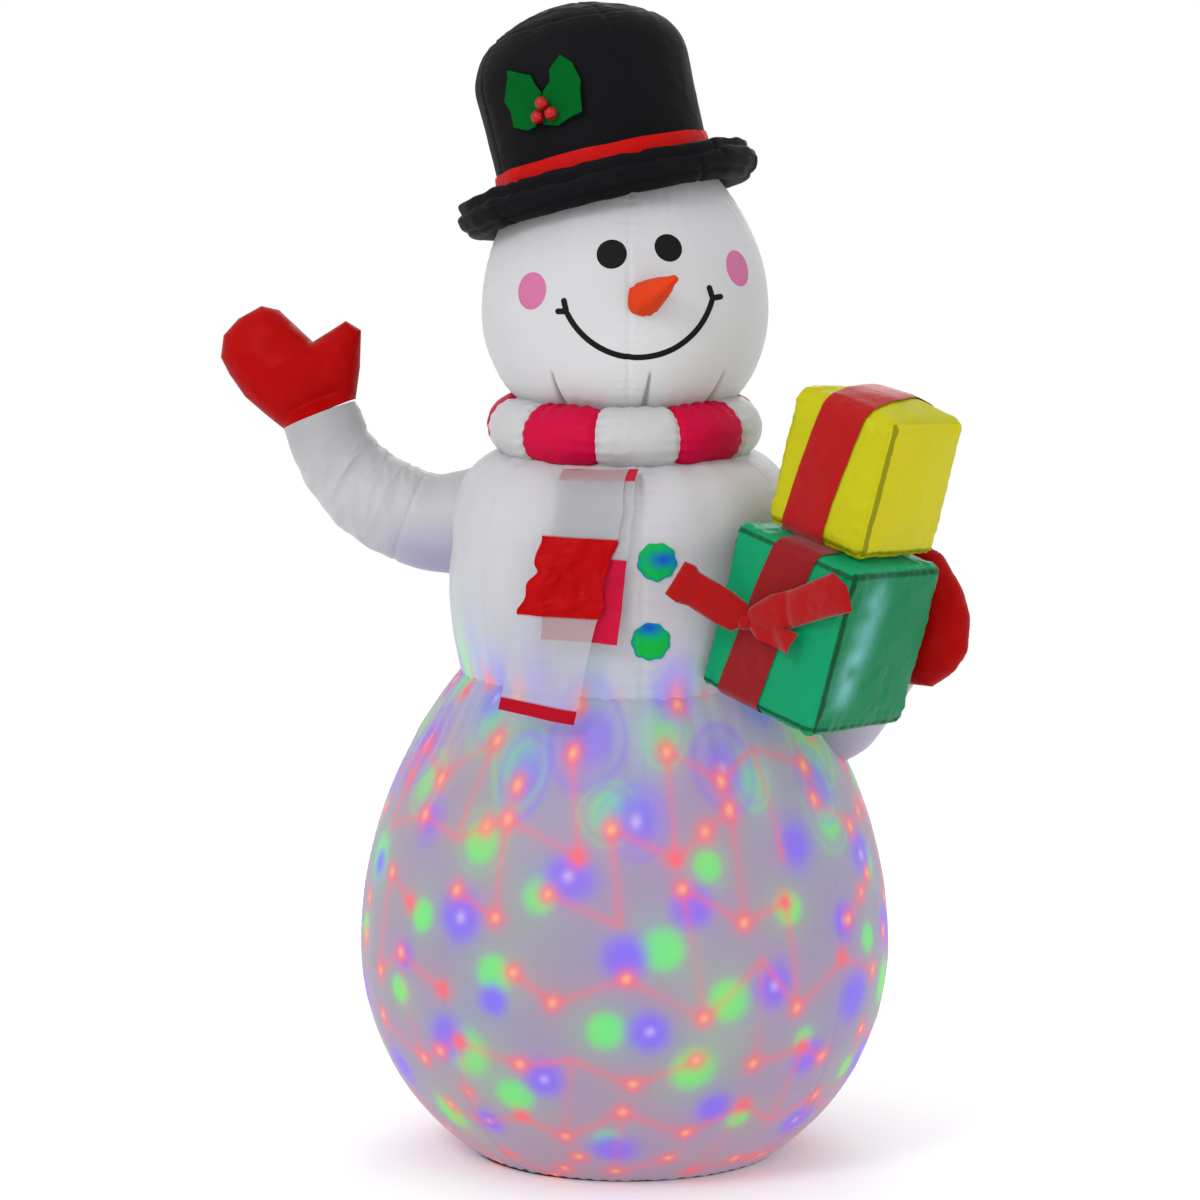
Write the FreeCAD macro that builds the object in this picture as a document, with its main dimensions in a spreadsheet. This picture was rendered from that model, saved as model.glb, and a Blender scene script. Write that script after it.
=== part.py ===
import math
import os

import FreeCAD
import Part
import Sketcher
from FreeCAD import Placement, Rotation, Vector

# An inflatable yard snowman, 2.4 m tall. Sewn polyester skins hold the shape while a blower in the back of
# the lower body runs. A rotating lens projector on the floor panel throws coloured spots on the skins, and
# white lamps on a ribbon light the head, the chest and the presents.
# Millimetres. +Z is up, -Y is the front, and the origin is the centre of the floor panel's underside.

X_AXIS = Vector(1, 0, 0)
Y_AXIS = Vector(0, 1, 0)
Z_AXIS = Vector(0, 0, 1)

DIMENSIONS = {
    # skins
    "skin": 1.5,
    "cloth": 1.2,
    "gap": 0.3,
    "panel": 2,
    # lower body, a solid of revolution about Z
    "base_r": 320,
    "belly_r": 558,
    "belly_z": 441,
    "belly_low_arc": 528,
    "belly_high_arc": 869,
    "belly_top_r": 231,
    "belly_top_z": 1120,
    # upper body, about its own axis, which leans forward
    "lean_deg": 7.5,
    "waist_y": -28,
    "waist_z": 1014,
    "torso_low_r": 318,
    "torso_low_z": -60,
    "torso_low_arc": 700,
    "torso_r": 364,
    "torso_wall_z": 190,
    "torso_wall_top_z": 310,
    "shoulder_arc": 140,
    "shoulder_r": 318,
    "shoulder_z": 440,
    "neck_r": 155,
    "neck_z": 498,
    # head, about a vertical axis over the neck
    "head_y": -93,
    "head_low_z": 1440,
    "chin_z": 1538,
    "chin_arc": 190,
    "jowl_r": 270,
    "jowl_z": 1645,
    "jowl_arc": 267,
    "head_r": 297,
    "head_z": 1762,
    "head_top_arc": 404,
    "head_top_r": 160,
    "head_top_z": 2064,
    # hat, in its own frame, which tips to one side
    "hat_x": -33,
    "hat_z": 1992,
    "hat_tip_deg": 12.5,
    "crown_r": 219.5,
    "crown_wall_z": 250,
    "crown_corner_r": 165,
    "crown_corner_z": 352,
    "crown_corner_arc": 118,
    "crown_top_z": 398,
    "brim_mid_r": 276,
    "brim_tube_r": 41,
    "brim_z": 15,
    "band_low_z": 36,
    "band_high_z": 88,
    # scarf, in the upper body's frame
    "scarf_mid_r": 221,
    "scarf_tube_r": 63,
    "scarf_z": 516,
    "scarf_stripes": 10,
    "scarf_turn_deg": 5.5,
    "tail_w": 152,
    # face, on the head
    "eye_r": 29,
    "cheek_r": 37,
    "mouth_r": 153,
    "mouth_line": 11,
    "nose_r": 34,
    "nose_tip_r": 6,
    "nose_len": 130,
    "button_r": 40,
    # hands
    "palm_long": 134,
    "palm_wide": 100,
    "palm_deep": 68,
    "thumb_long": 98,
    "thumb_wide": 43,
    # presents
    "green_w": 304,
    "green_h": 346,
    "yellow_w": 250,
    "yellow_h": 284,
    "present_round": 30,
    "ribbon_w": 104,
    "bow_w": 74,
    # blower
    "duct_r": 75,
    "duct_wall": 4,
    "duct_len": 130,
    "duct_flange_r": 81,
    "duct_flange_len": 5,
    "duct_y": 405,
    "duct_z": 120,
    "grille_len": 4,
    "gland_r": 9,
    "gland_bore_r": 3.5,
    "gland_len": 22,
    "gland_offset": 60,
    "fan_r": 68,
    "fan_hub_r": 24,
    "fan_len": 26,
    "motor_r": 21,
    "motor_len": 46,
    # projector
    "lens_r": 60,
    "lens_wall": 2,
    "lamp_base_r": 62,
    "lamp_base_h": 34,
    # zip on the back of the lower body
    "zip_low_deg": 10,
    "zip_sweep_deg": 19,
    "tape_w": 32,
    "coil_w": 6,
    # tethers
    "ring_bar": 36,
    "ring_wire_r": 1.5,
    "eyelet_bore_r": 6,
    "eyelet_rim_r": 11,
    "strap_w": 30,
    "strap_reach": 640,
}

doc = FreeCAD.newDocument("snowman")
dims = doc.addObject("Spreadsheet::Sheet", "dims")
for row, (alias, value) in enumerate(DIMENSIONS.items(), start=1):
    dims.set(f"A{row}", alias)
    dims.set(f"B{row}", str(value))
    dims.setAlias(f"B{row}", alias)
doc.recompute()


def size(alias):
    """A driving dimension as a number."""
    return float(dims.get(alias))


def number(expression):
    """The value of a sizing expression, which names cells as dims.alias."""
    holder = doc.addObject("App::FeaturePython", "holder")
    holder.addProperty("App::PropertyFloat", "Value")
    holder.setExpression("Value", str(expression))
    holder.recompute()
    value = float(holder.Value)
    doc.removeObject(holder.Name)
    return value


# Builders ---------------------------------------------------------------------------------------------------

parts = []


def keep(piece, label):
    """Marks a finished sub-part. Its label is its node's name."""
    piece.Label = label
    parts.append(piece)
    return piece


def primitive(kind, name, place=None, **sizes):
    """A Part primitive, its properties bound to expressions."""
    piece = doc.addObject("Part::" + kind, name)
    for prop, expression in sizes.items():
        piece.setExpression(prop, str(expression))
    if place:
        piece.Placement = place
    return piece


def cut(name, base, tool):
    piece = doc.addObject("Part::Cut", name)
    piece.Base = base
    piece.Tool = tool
    return piece


def fuse(name, shapes):
    piece = doc.addObject("Part::MultiFuse", name)
    piece.Shapes = shapes
    return piece


def common(name, shapes):
    piece = doc.addObject("Part::MultiCommon", name)
    piece.Shapes = shapes
    return piece


def group(name, shapes):
    """Separate solids in one node."""
    piece = doc.addObject("Part::Compound", name)
    piece.Links = shapes
    return piece


def origin_plane(body, role):
    return next(f for f in body.Origin.OriginFeatures if f.Role == role)


def outline(body, name, role, points, arcs=None):
    """A closed sketch on one of the body's origin planes. points are pairs of expressions, and arcs maps a
    side's number to (radius expression, +1 to bulge right of the direction of travel or -1 left)."""
    arcs = arcs or {}
    sketch = body.newObject("Sketcher::SketchObject", name)
    sketch.AttachmentSupport = [(origin_plane(body, role), "")]
    sketch.MapMode = "FlatFace"
    corners = [Vector(number(x), number(y), 0) for x, y in points]
    ends = []
    for side, start in enumerate(corners):
        finish = corners[(side + 1) % len(corners)]
        if side in arcs:
            radius, turn = number(arcs[side][0]), arcs[side][1]
            chord = finish - start
            half = chord.Length / 2
            rise = radius - math.sqrt(radius**2 - half**2)
            across = Vector(chord.y, -chord.x, 0).normalize() * rise * turn
            curve = Part.Arc(start, (start + finish) / 2 + across, finish)
            geo = sketch.addGeometry(curve)
            sketch.addConstraint(Sketcher.Constraint("Radius", geo, radius))
            sketch.renameConstraint(sketch.ConstraintCount - 1, f"arc{side}")
        else:
            geo = sketch.addGeometry(Part.LineSegment(start, finish))
        forward = (sketch.getPoint(geo, 1) - start).Length < 1e-6
        ends.append((geo, 1 if forward else 2, 2 if forward else 1))
    for side, (geo, first, _) in enumerate(ends):
        before, _, last = ends[side - 1]
        sketch.addConstraint(Sketcher.Constraint("Coincident", before, last, geo, first))
        for axis, value in (("X", corners[side].x), ("Y", corners[side].y)):
            pin = Sketcher.Constraint("Distance" + axis, -1, 1, geo, first, value)
            sketch.addConstraint(pin)
            sketch.renameConstraint(sketch.ConstraintCount - 1, f"{axis.lower()}{side}")
    for side, (x, y) in enumerate(points):
        sketch.setExpression(f"Constraints.x{side}", str(x))
        sketch.setExpression(f"Constraints.y{side}", str(y))
    for side, (radius, _) in arcs.items():
        sketch.setExpression(f"Constraints.arc{side}", str(radius))
    return sketch


def revolved(name, points, arcs=None, place=None, angle=360):
    """A body turned about its Z axis from an outline in its XZ plane."""
    body = doc.addObject("PartDesign::Body", name)
    sketch = outline(body, name + "_outline", "XZ_Plane", points, arcs)
    turned = body.newObject("PartDesign::Revolution", name + "_turned")
    turned.Profile = sketch
    turned.ReferenceAxis = (sketch, ["V_Axis"])
    turned.setExpression("Angle", str(angle))
    if place:
        body.Placement = place
    return body


def padded(name, points, length, place=None, role="XY_Plane", arcs=None):
    """A body padded from an outline in one of its origin planes."""
    body = doc.addObject("PartDesign::Body", name)
    sketch = outline(body, name + "_outline", role, points, arcs)
    pad = body.newObject("PartDesign::Pad", name + "_pad")
    pad.Profile = sketch
    pad.setExpression("Length", str(length))
    if place:
        body.Placement = place
    return body


def skin_of(name, points, arcs, place=None):
    """The filled form inside an outline of revolution, the same form one skin smaller, and the skin between,
    which is open at both ends. The outline runs up the outside from the lowest ring."""
    inside = [(f"{x} - dims.skin", z) for x, z in points]
    forms = [
        revolved(f"{name}_{kind}", [*ring, ("0", ring[-1][1]), ("0", ring[0][1])], arcs, place)
        for kind, ring in (("outer", points), ("inner", inside))
    ]
    return forms[0], forms[1], cut(name + "_skin", *forms)


def limb_form(name, points, inset=0.0):
    """A filled limb lofted through circles, from a run of (x, y, z, radius). Each ring is turned from the one
    before it by the shortest way, so the loft has no twist."""
    spots = [Vector(*point[:3]) for point in points]
    rings, turn, heading = [], Rotation(), Z_AXIS
    for i, spot in enumerate(spots):
        ahead = spots[min(i + 1, len(spots) - 1)]
        behind = spots[max(i - 1, 0)]
        direction = (ahead - behind).normalize()
        turn = Rotation(heading, direction).multiply(turn)
        heading = direction
        ring = doc.addObject("Part::Circle", f"{name}_ring{i}")
        ring.Radius = points[i][3] - inset
        ring.Placement = Placement(spot, turn)
        rings.append(ring)
    loft = doc.addObject("Part::Loft", name)
    loft.Sections = rings
    loft.Solid = True
    loft.Ruled = False
    return loft, rings[-1].Placement


# Frames -----------------------------------------------------------------------------------------------------

torso_frame = Placement(Vector(0, size("waist_y"), size("waist_z")), Rotation(X_AXIS, size("lean_deg")))
head_frame = Placement(Vector(0, size("head_y"), 0), Rotation())
hat_frame = Placement(
    Vector(size("hat_x"), size("head_y"), size("hat_z")), Rotation(Y_AXIS, -size("hat_tip_deg"))
)


def placed(frame, x=0.0, y=0.0, z=0.0, turn=None):
    """A placement given in a frame."""
    return frame.multiply(Placement(Vector(x, y, z), turn or Rotation()))


# Lower body -------------------------------------------------------------------------------------------------

belly_points = [
    ("dims.base_r", "dims.panel"),
    ("dims.belly_r", "dims.belly_z"),
    ("dims.belly_top_r", "dims.belly_top_z"),
]
belly_arcs = {0: ("dims.belly_low_arc", 1), 1: ("dims.belly_high_arc", 1)}
belly_outer, belly_inner, belly_skin = skin_of("belly", belly_points, belly_arcs)

torso_points = [
    ("dims.torso_low_r", "dims.torso_low_z"),
    ("dims.torso_r", "dims.torso_wall_z"),
    ("dims.torso_r", "dims.torso_wall_top_z"),
    ("dims.shoulder_r", "dims.shoulder_z"),
    ("dims.neck_r", "dims.neck_z"),
]
torso_arcs = {0: ("dims.torso_low_arc", 1), 2: ("dims.shoulder_arc", 1)}
torso_outer, torso_inner, torso_skin = skin_of("torso", torso_points, torso_arcs, torso_frame)

duct_frame = Placement(Vector(0, size("duct_y"), size("duct_z")), Rotation(X_AXIS, -90))
duct_hole = primitive(
    "Cylinder",
    "duct_hole",
    placed(duct_frame, z=-60),
    Radius="dims.duct_r + dims.gap",
    Height="dims.duct_len + 100",
)
belly_open = cut("belly_open", belly_skin, torso_inner)
keep(cut("belly_trimmed", belly_open, duct_hole), "lower_body")

floor_panel = primitive("Cylinder", "floor_panel", Radius="dims.base_r", Height="dims.panel")
keep(floor_panel, "floor_panel")

# Arms -------------------------------------------------------------------------------------------------------
# Each limb is a run of rings (x, y, z, radius) from inside the upper body to the wrist.

WAVING_ARM = [
    (-250, -45, 1335, 118),
    (-330, -42, 1322, 108),
    (-394, -40, 1322, 101),
    (-456, -38, 1340, 96),
    (-525, -36, 1377, 92),
    (-580, -34, 1425, 86),
    (-614, -33, 1480, 82),
    (-640, -32, 1546, 80),
]
HOLDING_UPPER_ARM = [
    (250, -40, 1345, 110),
    (335, -28, 1290, 108),
    (388, -12, 1200, 106),
    (408, -2, 1090, 105),
    (408, -4, 990, 104),
    (408, -8, 905, 103),
]
HOLDING_FOREARM = [
    (408, -8, 905, 98),
    (440, -76, 922, 92),
    (470, -135, 962, 86),
    (503, -184, 1008, 80),
    (532, -214, 1052, 76),
]
ELBOW = (408, -8, 905, 104.5)


def limb(name, runs, elbows, keep_clear):
    """A hollow limb, the filled form inside it, and its last ring's placement. runs are lofted stretches,
    elbows are round joints (x, y, z, radius) between them, and it is trimmed by keep_clear."""
    forms = []
    for kind, inset in (("outer", 0), ("inner", size("skin"))):
        lofts, ends = zip(*[limb_form(f"{name}_{kind}{i}", run, inset) for i, run in enumerate(runs)])
        balls = [
            primitive("Sphere", f"{name}_{kind}_elbow", Placement(Vector(*elbow[:3]), Rotation()),
                      Radius=f"{elbow[3]} - {inset}")
            for elbow in elbows
        ]
        solids = [*lofts, *balls]
        forms.append(fuse(f"{name}_{kind}", solids) if len(solids) > 1 else solids[0])
    piece = cut(name + "_skin", *forms)
    for form in keep_clear:
        piece = cut(f"{name}_clear_of_{form.Name}", piece, form)
    return piece, forms[1], ends[-1]


waving_arm, waving_inner, waving_wrist = limb("waving_arm", [WAVING_ARM], [], [torso_outer])
keep(waving_arm, "waving_arm")
holding_arm, holding_inner, holding_wrist = limb(
    "holding_arm", [HOLDING_UPPER_ARM, HOLDING_FOREARM], [ELBOW], [torso_outer, belly_outer]
)
keep(holding_arm, "holding_arm")

torso_above = cut("torso_above", torso_skin, belly_outer)
torso_left_open = cut("torso_left_open", torso_above, waving_inner)
keep(cut("torso_trimmed", torso_left_open, holding_inner), "upper_body")


def mitten(name, lobes, depth, wrist, clear_of):
    """A hollow mitten, open where the limb's last ring meets it. lobes are (centre, the direction of its
    length, half length, half width, half depth), and depth is the direction through the hand."""
    skins = []
    for kind, less in (("outer", "0"), ("inner", "dims.skin")):
        forms = [
            primitive(
                "Ellipsoid",
                f"{name}_lobe{i}_{kind}",
                Placement(centre, Rotation(depth, Vector(), along, "ZXY")),
                Radius1=f"{long} - {less}",
                Radius2=f"{deep} - {less}",
                Radius3=f"{wide} - {less}",
            )
            for i, (centre, along, long, wide, deep) in enumerate(lobes)
        ]
        skins.append(fuse(f"{name}_{kind}", forms))
    hollow = cut(f"{name}_hollow", *skins)
    behind = primitive("Cylinder", f"{name}_wrist_end", placed(wrist, z=-300), Radius=300, Height=300)
    piece = cut(f"{name}_open", hollow, behind)
    for form in clear_of:
        piece = cut(f"{name}_clear_of_{form.Name}", piece, form)
    return piece


WAVING_LOBES = [
    (Vector(-726, -33, 1652), Vector(-0.46, 0, 0.89), "dims.palm_long", "dims.palm_wide", "dims.palm_deep"),
    (Vector(-603, -33, 1650), Vector(0.16, 0, 0.98), "dims.thumb_long", "dims.thumb_wide", "dims.thumb_wide"),
    (Vector(-652, -33, 1584), Vector(-0.38, 0, 0.92), 78, 83, 76),
]
keep(mitten("waving_mitten", WAVING_LOBES, Y_AXIS, waving_wrist, []), "waving_mitten")

# Head, face and hat -----------------------------------------------------------------------------------------

head_points = [
    ("dims.neck_r - 5", "dims.head_low_z"),
    ("dims.neck_r - 5", "dims.chin_z"),
    ("dims.jowl_r", "dims.jowl_z"),
    ("dims.head_r", "dims.head_z"),
    ("dims.head_top_r", "dims.head_top_z"),
]
head_arcs = {1: ("dims.chin_arc", 1), 2: ("dims.jowl_arc", 1), 3: ("dims.head_top_arc", 1)}
head_outer, head_inner, head_skin = skin_of("head", head_points, head_arcs, head_frame)
above_brim = primitive("Cylinder", "above_brim", hat_frame, Radius=500, Height=600)
head_above_neck = cut("head_above_neck", head_skin, torso_outer)
keep(cut("head_trimmed", head_above_neck, above_brim), "head")


near_skin, far_skin = [
    revolved(
        f"face_{kind}",
        [
            ("0", "dims.chin_z + 10"),
            (f"dims.neck_r - 5 + {offset} + 12", "dims.chin_z + 10"),
            (f"dims.jowl_r + {offset}", "dims.jowl_z"),
            (f"dims.head_r + {offset}", "dims.head_z"),
            (f"dims.head_top_r + {offset}", "dims.head_top_z"),
            ("0", "dims.head_top_z"),
        ],
        {1: ("dims.chin_arc", 1), 2: ("dims.jowl_arc", 1), 3: ("dims.head_top_arc", 1)},
        head_frame,
    )
    for kind, offset in (("near", "0.1"), ("far", "dims.cloth"))
]
face_skin = cut("face_skin", far_skin, near_skin)


def face_patch(name, cutters):
    """The pieces of a thin skin over the face that lie inside the cutters."""
    return common(name, [face_skin, cutters])


def round_patch(name, x, z, radius):
    """A rod that cuts a round patch, square to the skin where its middle lies at (x, z)."""
    outward = Vector(x, -math.sqrt(size("head_r") ** 2 - x**2), 0).normalize()
    start = Vector(0, size("head_y"), z)
    return primitive("Cylinder", name, Placement(start, Rotation(Z_AXIS, outward)), Radius=radius, Height=400)


eye_cutters = group(
    "eye_cutters",
    [round_patch("left_eye", -26, 1858, "dims.eye_r"), round_patch("right_eye", 85, 1872, "dims.eye_r")],
)
keep(face_patch("eye_patches", eye_cutters), "eyes")
cheek_cutters = group(
    "cheek_cutters",
    [
        round_patch("left_cheek", -185, 1790, "dims.cheek_r"),
        round_patch("right_cheek", 227, 1838, "dims.cheek_r"),
    ],
)
keep(face_patch("cheek_patches", cheek_cutters), "cheeks")

MOUTH_X, MOUTH_Z, MOUTH_TILT = 25, 1811, 5.5
mouth_ring = revolved(
    "mouth_ring",
    [
        ("dims.mouth_r - dims.mouth_line / 2", "0"),
        ("dims.mouth_r + dims.mouth_line / 2", "0"),
        ("dims.mouth_r + dims.mouth_line / 2", "400"),
        ("dims.mouth_r - dims.mouth_line / 2", "400"),
    ],
    angle=142,
    place=Placement(Vector(MOUTH_X, -150, MOUTH_Z), Rotation(X_AXIS, 90)).multiply(
        Placement(Vector(), Rotation(Z_AXIS, 180 + 19 + MOUTH_TILT))
    ),
)
keep(face_patch("mouth_line", mouth_ring), "mouth")

NOSE_FOOT = Vector(39, -386, 1771)
NOSE_AIM = Vector(59.5, -110, 35)
nose_place = Placement(NOSE_FOOT - NOSE_AIM.normalize() * 30, Rotation(Z_AXIS, NOSE_AIM))
nose_skins = [
    primitive(
        "Cone",
        f"nose_{kind}",
        nose_place,
        Radius1=f"dims.nose_r - {less}",
        Radius2=f"dims.nose_tip_r - {less}",
        Height=f"dims.nose_len + 30 - {less}",
    )
    for kind, less in (("outer", "0"), ("inner", "dims.skin"))
]
keep(cut("nose_trimmed", cut("nose_hollow", *nose_skins), near_skin), "nose")


def crown_form(name, less):
    """The filled crown, less smaller all round. Its dome is part of a sphere centred on the axis."""
    wall_r, corner_r = f"dims.crown_r - {less}", f"dims.crown_corner_r - {less}"
    top_z = f"dims.crown_top_z - {less}"
    rise = f"({top_z} - dims.crown_corner_z)"
    dome_r = f"(({corner_r}) ^ 2 + {rise} ^ 2) / (2 * {rise})"
    points = [
        ("0", "0"),
        (wall_r, "0"),
        (wall_r, "dims.crown_wall_z"),
        (corner_r, "dims.crown_corner_z"),
        ("0", top_z),
    ]
    return revolved(name, points, {2: ("dims.crown_corner_arc", 1), 3: (dome_r, 1)}, hat_frame)


crown_skin = cut("crown_skin", crown_form("crown_outer", "0"), crown_form("crown_inner", "dims.skin"))
keep(crown_skin, "hat_crown")

brim_tubes = [
    primitive(
        "Torus",
        f"brim_{kind}",
        placed(hat_frame, z=size("brim_z")),
        Radius1="dims.brim_mid_r",
        Radius2=f"dims.brim_tube_r - {less}",
    )
    for kind, less in (("outer", "0"), ("inner", "dims.skin"))
]
brim_tube = cut("brim_hollow", *brim_tubes)
brim_root = revolved(
    "brim_root",
    [
        ("dims.crown_r + 0.1", "dims.brim_z - dims.skin / 2"),
        ("dims.brim_mid_r - dims.brim_tube_r + dims.skin", "dims.brim_z - dims.skin / 2"),
        ("dims.brim_mid_r - dims.brim_tube_r + dims.skin", "dims.brim_z + dims.skin / 2"),
        ("dims.crown_r + 0.1", "dims.brim_z + dims.skin / 2"),
    ],
    place=hat_frame,
)
brim_middle = primitive(
    "Cylinder", "brim_middle", hat_frame, Radius="dims.brim_mid_r - dims.brim_tube_r + dims.skin", Height=60
)
brim_inside = cut("brim_inside", brim_middle, brim_tubes[0])
keep(fuse("brim_whole", [brim_tube, common("brim_flange", [brim_root, brim_inside])]), "hat_brim")

keep(
    revolved(
        "band",
        [
            ("dims.crown_r + 0.1", "dims.band_low_z"),
            ("dims.crown_r + dims.cloth", "dims.band_low_z"),
            ("dims.crown_r + dims.cloth", "dims.band_high_z"),
            ("dims.crown_r + 0.1", "dims.band_high_z"),
        ],
        place=hat_frame,
    ),
    "hat_band",
)

HOLLY_TURN, HOLLY_Z = -23, 178
holly_frame = placed(hat_frame, turn=Rotation(Z_AXIS, HOLLY_TURN), z=HOLLY_Z)


def holly_leaf(name, lean, length, width, lift):
    """A felt leaf with scalloped sides, lift mm off the crown's front and leaning to one side."""
    body = doc.addObject("PartDesign::Body", name)
    half = [(0, 0), (0.30, 0.16), (0.24, 0.34), (0.50, 0.46), (0.38, 0.66), (0.36, 0.84), (0, 1)]
    right = [(f"{x * width}", f"{z * length}") for x, z in half]
    left = [(f"{-x * width}", f"{z * length}") for x, z in reversed(half[1:-1])]
    sketch = outline(body, name + "_outline", "XZ_Plane", right + left)
    pad = body.newObject("PartDesign::Pad", name + "_pad")
    pad.Profile = sketch
    pad.setExpression("Length", "dims.cloth")
    foot = Placement(Vector(0, -size("crown_r") - lift, -14), Rotation())
    body.Placement = holly_frame.multiply(foot).multiply(Placement(Vector(), Rotation(Y_AXIS, lean)))
    return body


leaves = [holly_leaf("leaf_left", -38, 118, 78, 1.5), holly_leaf("leaf_right", 28, 126, 78, 3)]
keep(group("leaf_pair", leaves), "holly_leaves")
BERRIES = [(-13.5, -9), (13.5, -9), (0, 14.5)]
keep(
    group(
        "berries",
        [
            primitive(
                "Sphere",
                f"berry{i}",
                placed(holly_frame, x=x, y=-size("crown_r") - 19, z=z),
                Radius=13.3,
            )
            for i, (x, z) in enumerate(BERRIES)
        ],
    ),
    "holly_berries",
)

# Scarf ------------------------------------------------------------------------------------------------------

STRIPE_DEG = 360 / size("scarf_stripes")
SCARF_CORE_R = 195
scarf_frame = placed(torso_frame, z=size("scarf_z"))


def scarf_stripe(count):
    """One hollow sector of the scarf's ring, clear of the head and the shoulders."""
    turn = Rotation(Z_AXIS, (count - 0.5) * STRIPE_DEG - 90 + size("scarf_turn_deg"))
    tubes = [
        primitive(
            "Torus",
            f"stripe{count}_{kind}",
            scarf_frame.multiply(Placement(Vector(), turn)),
            Radius1="dims.scarf_mid_r",
            Radius2=f"dims.scarf_tube_r - {less}",
            Angle3="360 / dims.scarf_stripes",
        )
        for kind, less in (("outer", "0"), ("inner", "dims.skin"))
    ]
    middle = placed(scarf_frame, z=-100)
    core = primitive("Cylinder", f"stripe{count}_core", middle, Radius=SCARF_CORE_R, Height=200)
    piece = cut(f"stripe{count}_outside", cut(f"stripe{count}_hollow", *tubes), core)
    for form in (head_outer, torso_outer):
        piece = cut(f"stripe{count}_clear_of_{form.Name}", piece, form)
    return piece


stripes = [scarf_stripe(i) for i in range(int(size("scarf_stripes")))]
keep(group("white_stripes", stripes[0::2]), "scarf_white_stripes")
keep(group("red_stripes", stripes[1::2]), "scarf_red_stripes")

# A tail's line down the chest, as distance from the Z axis and height. It lies on the shoulder, then hangs.
TAIL_TURN = 9
TAIL_LINE = [(362, 1437), (408, 1419), (432, 1385), (439, 1335), (439, 966)]
TAIL_TOP_Z = TAIL_LINE[0][1]


def scarf_tail(name, lift, top_x, foot_x, foot_z):
    """A flat tail, lift mm above the chest's line. It slants from top_x to foot_x in its own frame, which
    is turned TAIL_TURN degrees round the body from the front."""
    line = [(d + lift, z + lift / 2) for d, z in TAIL_LINE[:-1]] + [(TAIL_LINE[-1][0] + lift, foot_z)]
    near = [(f"{-d}", f"{z}") for d, z in line]
    far = [(f"{-d} - dims.cloth", f"{z} + dims.cloth / 2") for d, z in reversed(line[:-1])]
    end = (f"{-line[-1][0]} - dims.cloth", f"{foot_z}")
    turn = Placement(Vector(), Rotation(Z_AXIS, -TAIL_TURN))
    reach = 300
    sheet = padded(f"{name}_sheet", [*near, end, *far], f"{2 * reach}", placed(turn, x=-reach), "YZ_Plane")
    half = size("tail_w") / 2
    drop = TAIL_TOP_Z + lift - foot_z
    sides = [
        (f"{foot_x - half}", "0"),
        (f"{foot_x + half}", "0"),
        (f"{top_x + half}", f"{drop}"),
        (f"{top_x - half}", f"{drop}"),
    ]
    outline_prism = padded(f"{name}_sides", sides, "700", placed(turn, z=foot_z), "XZ_Plane")
    return common(name, [sheet, outline_prism])


keep(scarf_tail("tail_under", 0, 10, -22, 1105), "scarf_tail_under")
keep(scarf_tail("tail_over", 9, -10, -106, 966), "scarf_tail_over")

# Coat buttons, flat patches on the chest --------------------------------------------------------------------

chest_skins = [
    revolved(
        f"chest_{kind}",
        [
            ("0", "dims.torso_low_z"),
            (f"dims.torso_low_r + {offset}", "dims.torso_low_z"),
            (f"dims.torso_r + {offset}", "dims.torso_wall_z"),
            (f"dims.torso_r + {offset}", "dims.torso_wall_top_z"),
            ("0", "dims.torso_wall_top_z"),
        ],
        {1: ("dims.torso_low_arc", 1)},
        torso_frame,
    )
    for kind, offset in (("far", "dims.cloth"), ("near", "0.1"))
]
chest_skin = cut("chest_skin", *chest_skins)
CHEST_ROD_Y = -250
button_rods = group(
    "button_rods",
    [
        primitive(
            "Cylinder",
            f"button_rod{i}",
            Placement(Vector(x, CHEST_ROD_Y, z), Rotation(Z_AXIS, -Y_AXIS)),
            Radius="dims.button_r",
            Height=300,
        )
        for i, (x, z) in enumerate([(63, 1260), (51, 1099)])
    ],
)
keep(common("button_patches", [chest_skin, button_rods]), "buttons")

# Presents ---------------------------------------------------------------------------------------------------

STACK_UP = Vector(0.22, -0.214, 0.952)
STACK_RIGHT = Vector(0.715, -0.629, -0.307)
GREEN_FOOT = Vector(349, -351, 967)
stack_turn = Rotation(STACK_RIGHT, Vector(), STACK_UP, "ZXY")
green_frame = Placement(GREEN_FOOT, stack_turn)
yellow_frame = placed(green_frame, x=-5, y=24, z=size("green_h") + 2)


def pillow_box(name, frame, wide, tall):
    """A hollow box with rounded edges, standing on its frame's origin, and its filled form."""
    forms = []
    for kind, less in (("outer", "0"), ("inner", "dims.skin")):
        body = padded(
            f"{name}_{kind}",
            [
                (f"-{wide} / 2 + {less}", f"-{wide} / 2 + {less}"),
                (f"{wide} / 2 - {less}", f"-{wide} / 2 + {less}"),
                (f"{wide} / 2 - {less}", f"{wide} / 2 - {less}"),
                (f"-{wide} / 2 + {less}", f"{wide} / 2 - {less}"),
            ],
            f"{tall} - 2 * {less}",
            placed(frame, z=number(less)),
        )
        doc.recompute()
        rounded = body.newObject("PartDesign::Fillet", f"{name}_{kind}_round")
        pad = body.Group[-2]
        rounded.Base = (pad, [f"Edge{i + 1}" for i in range(len(pad.Shape.Edges))])
        rounded.setExpression("Radius", f"dims.present_round - {less}")
        body.Tip = rounded
        forms.append(body)
    return forms[0], cut(name + "_skin", *forms)


green_form, green_skin = pillow_box("green_box", green_frame, "dims.green_w", "dims.green_h")
keep(cut("green_present_trimmed", green_skin, torso_outer), "green_present")
yellow_form, yellow_skin = pillow_box("yellow_box", yellow_frame, "dims.yellow_w", "dims.yellow_h")
keep(yellow_skin, "yellow_present")


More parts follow.
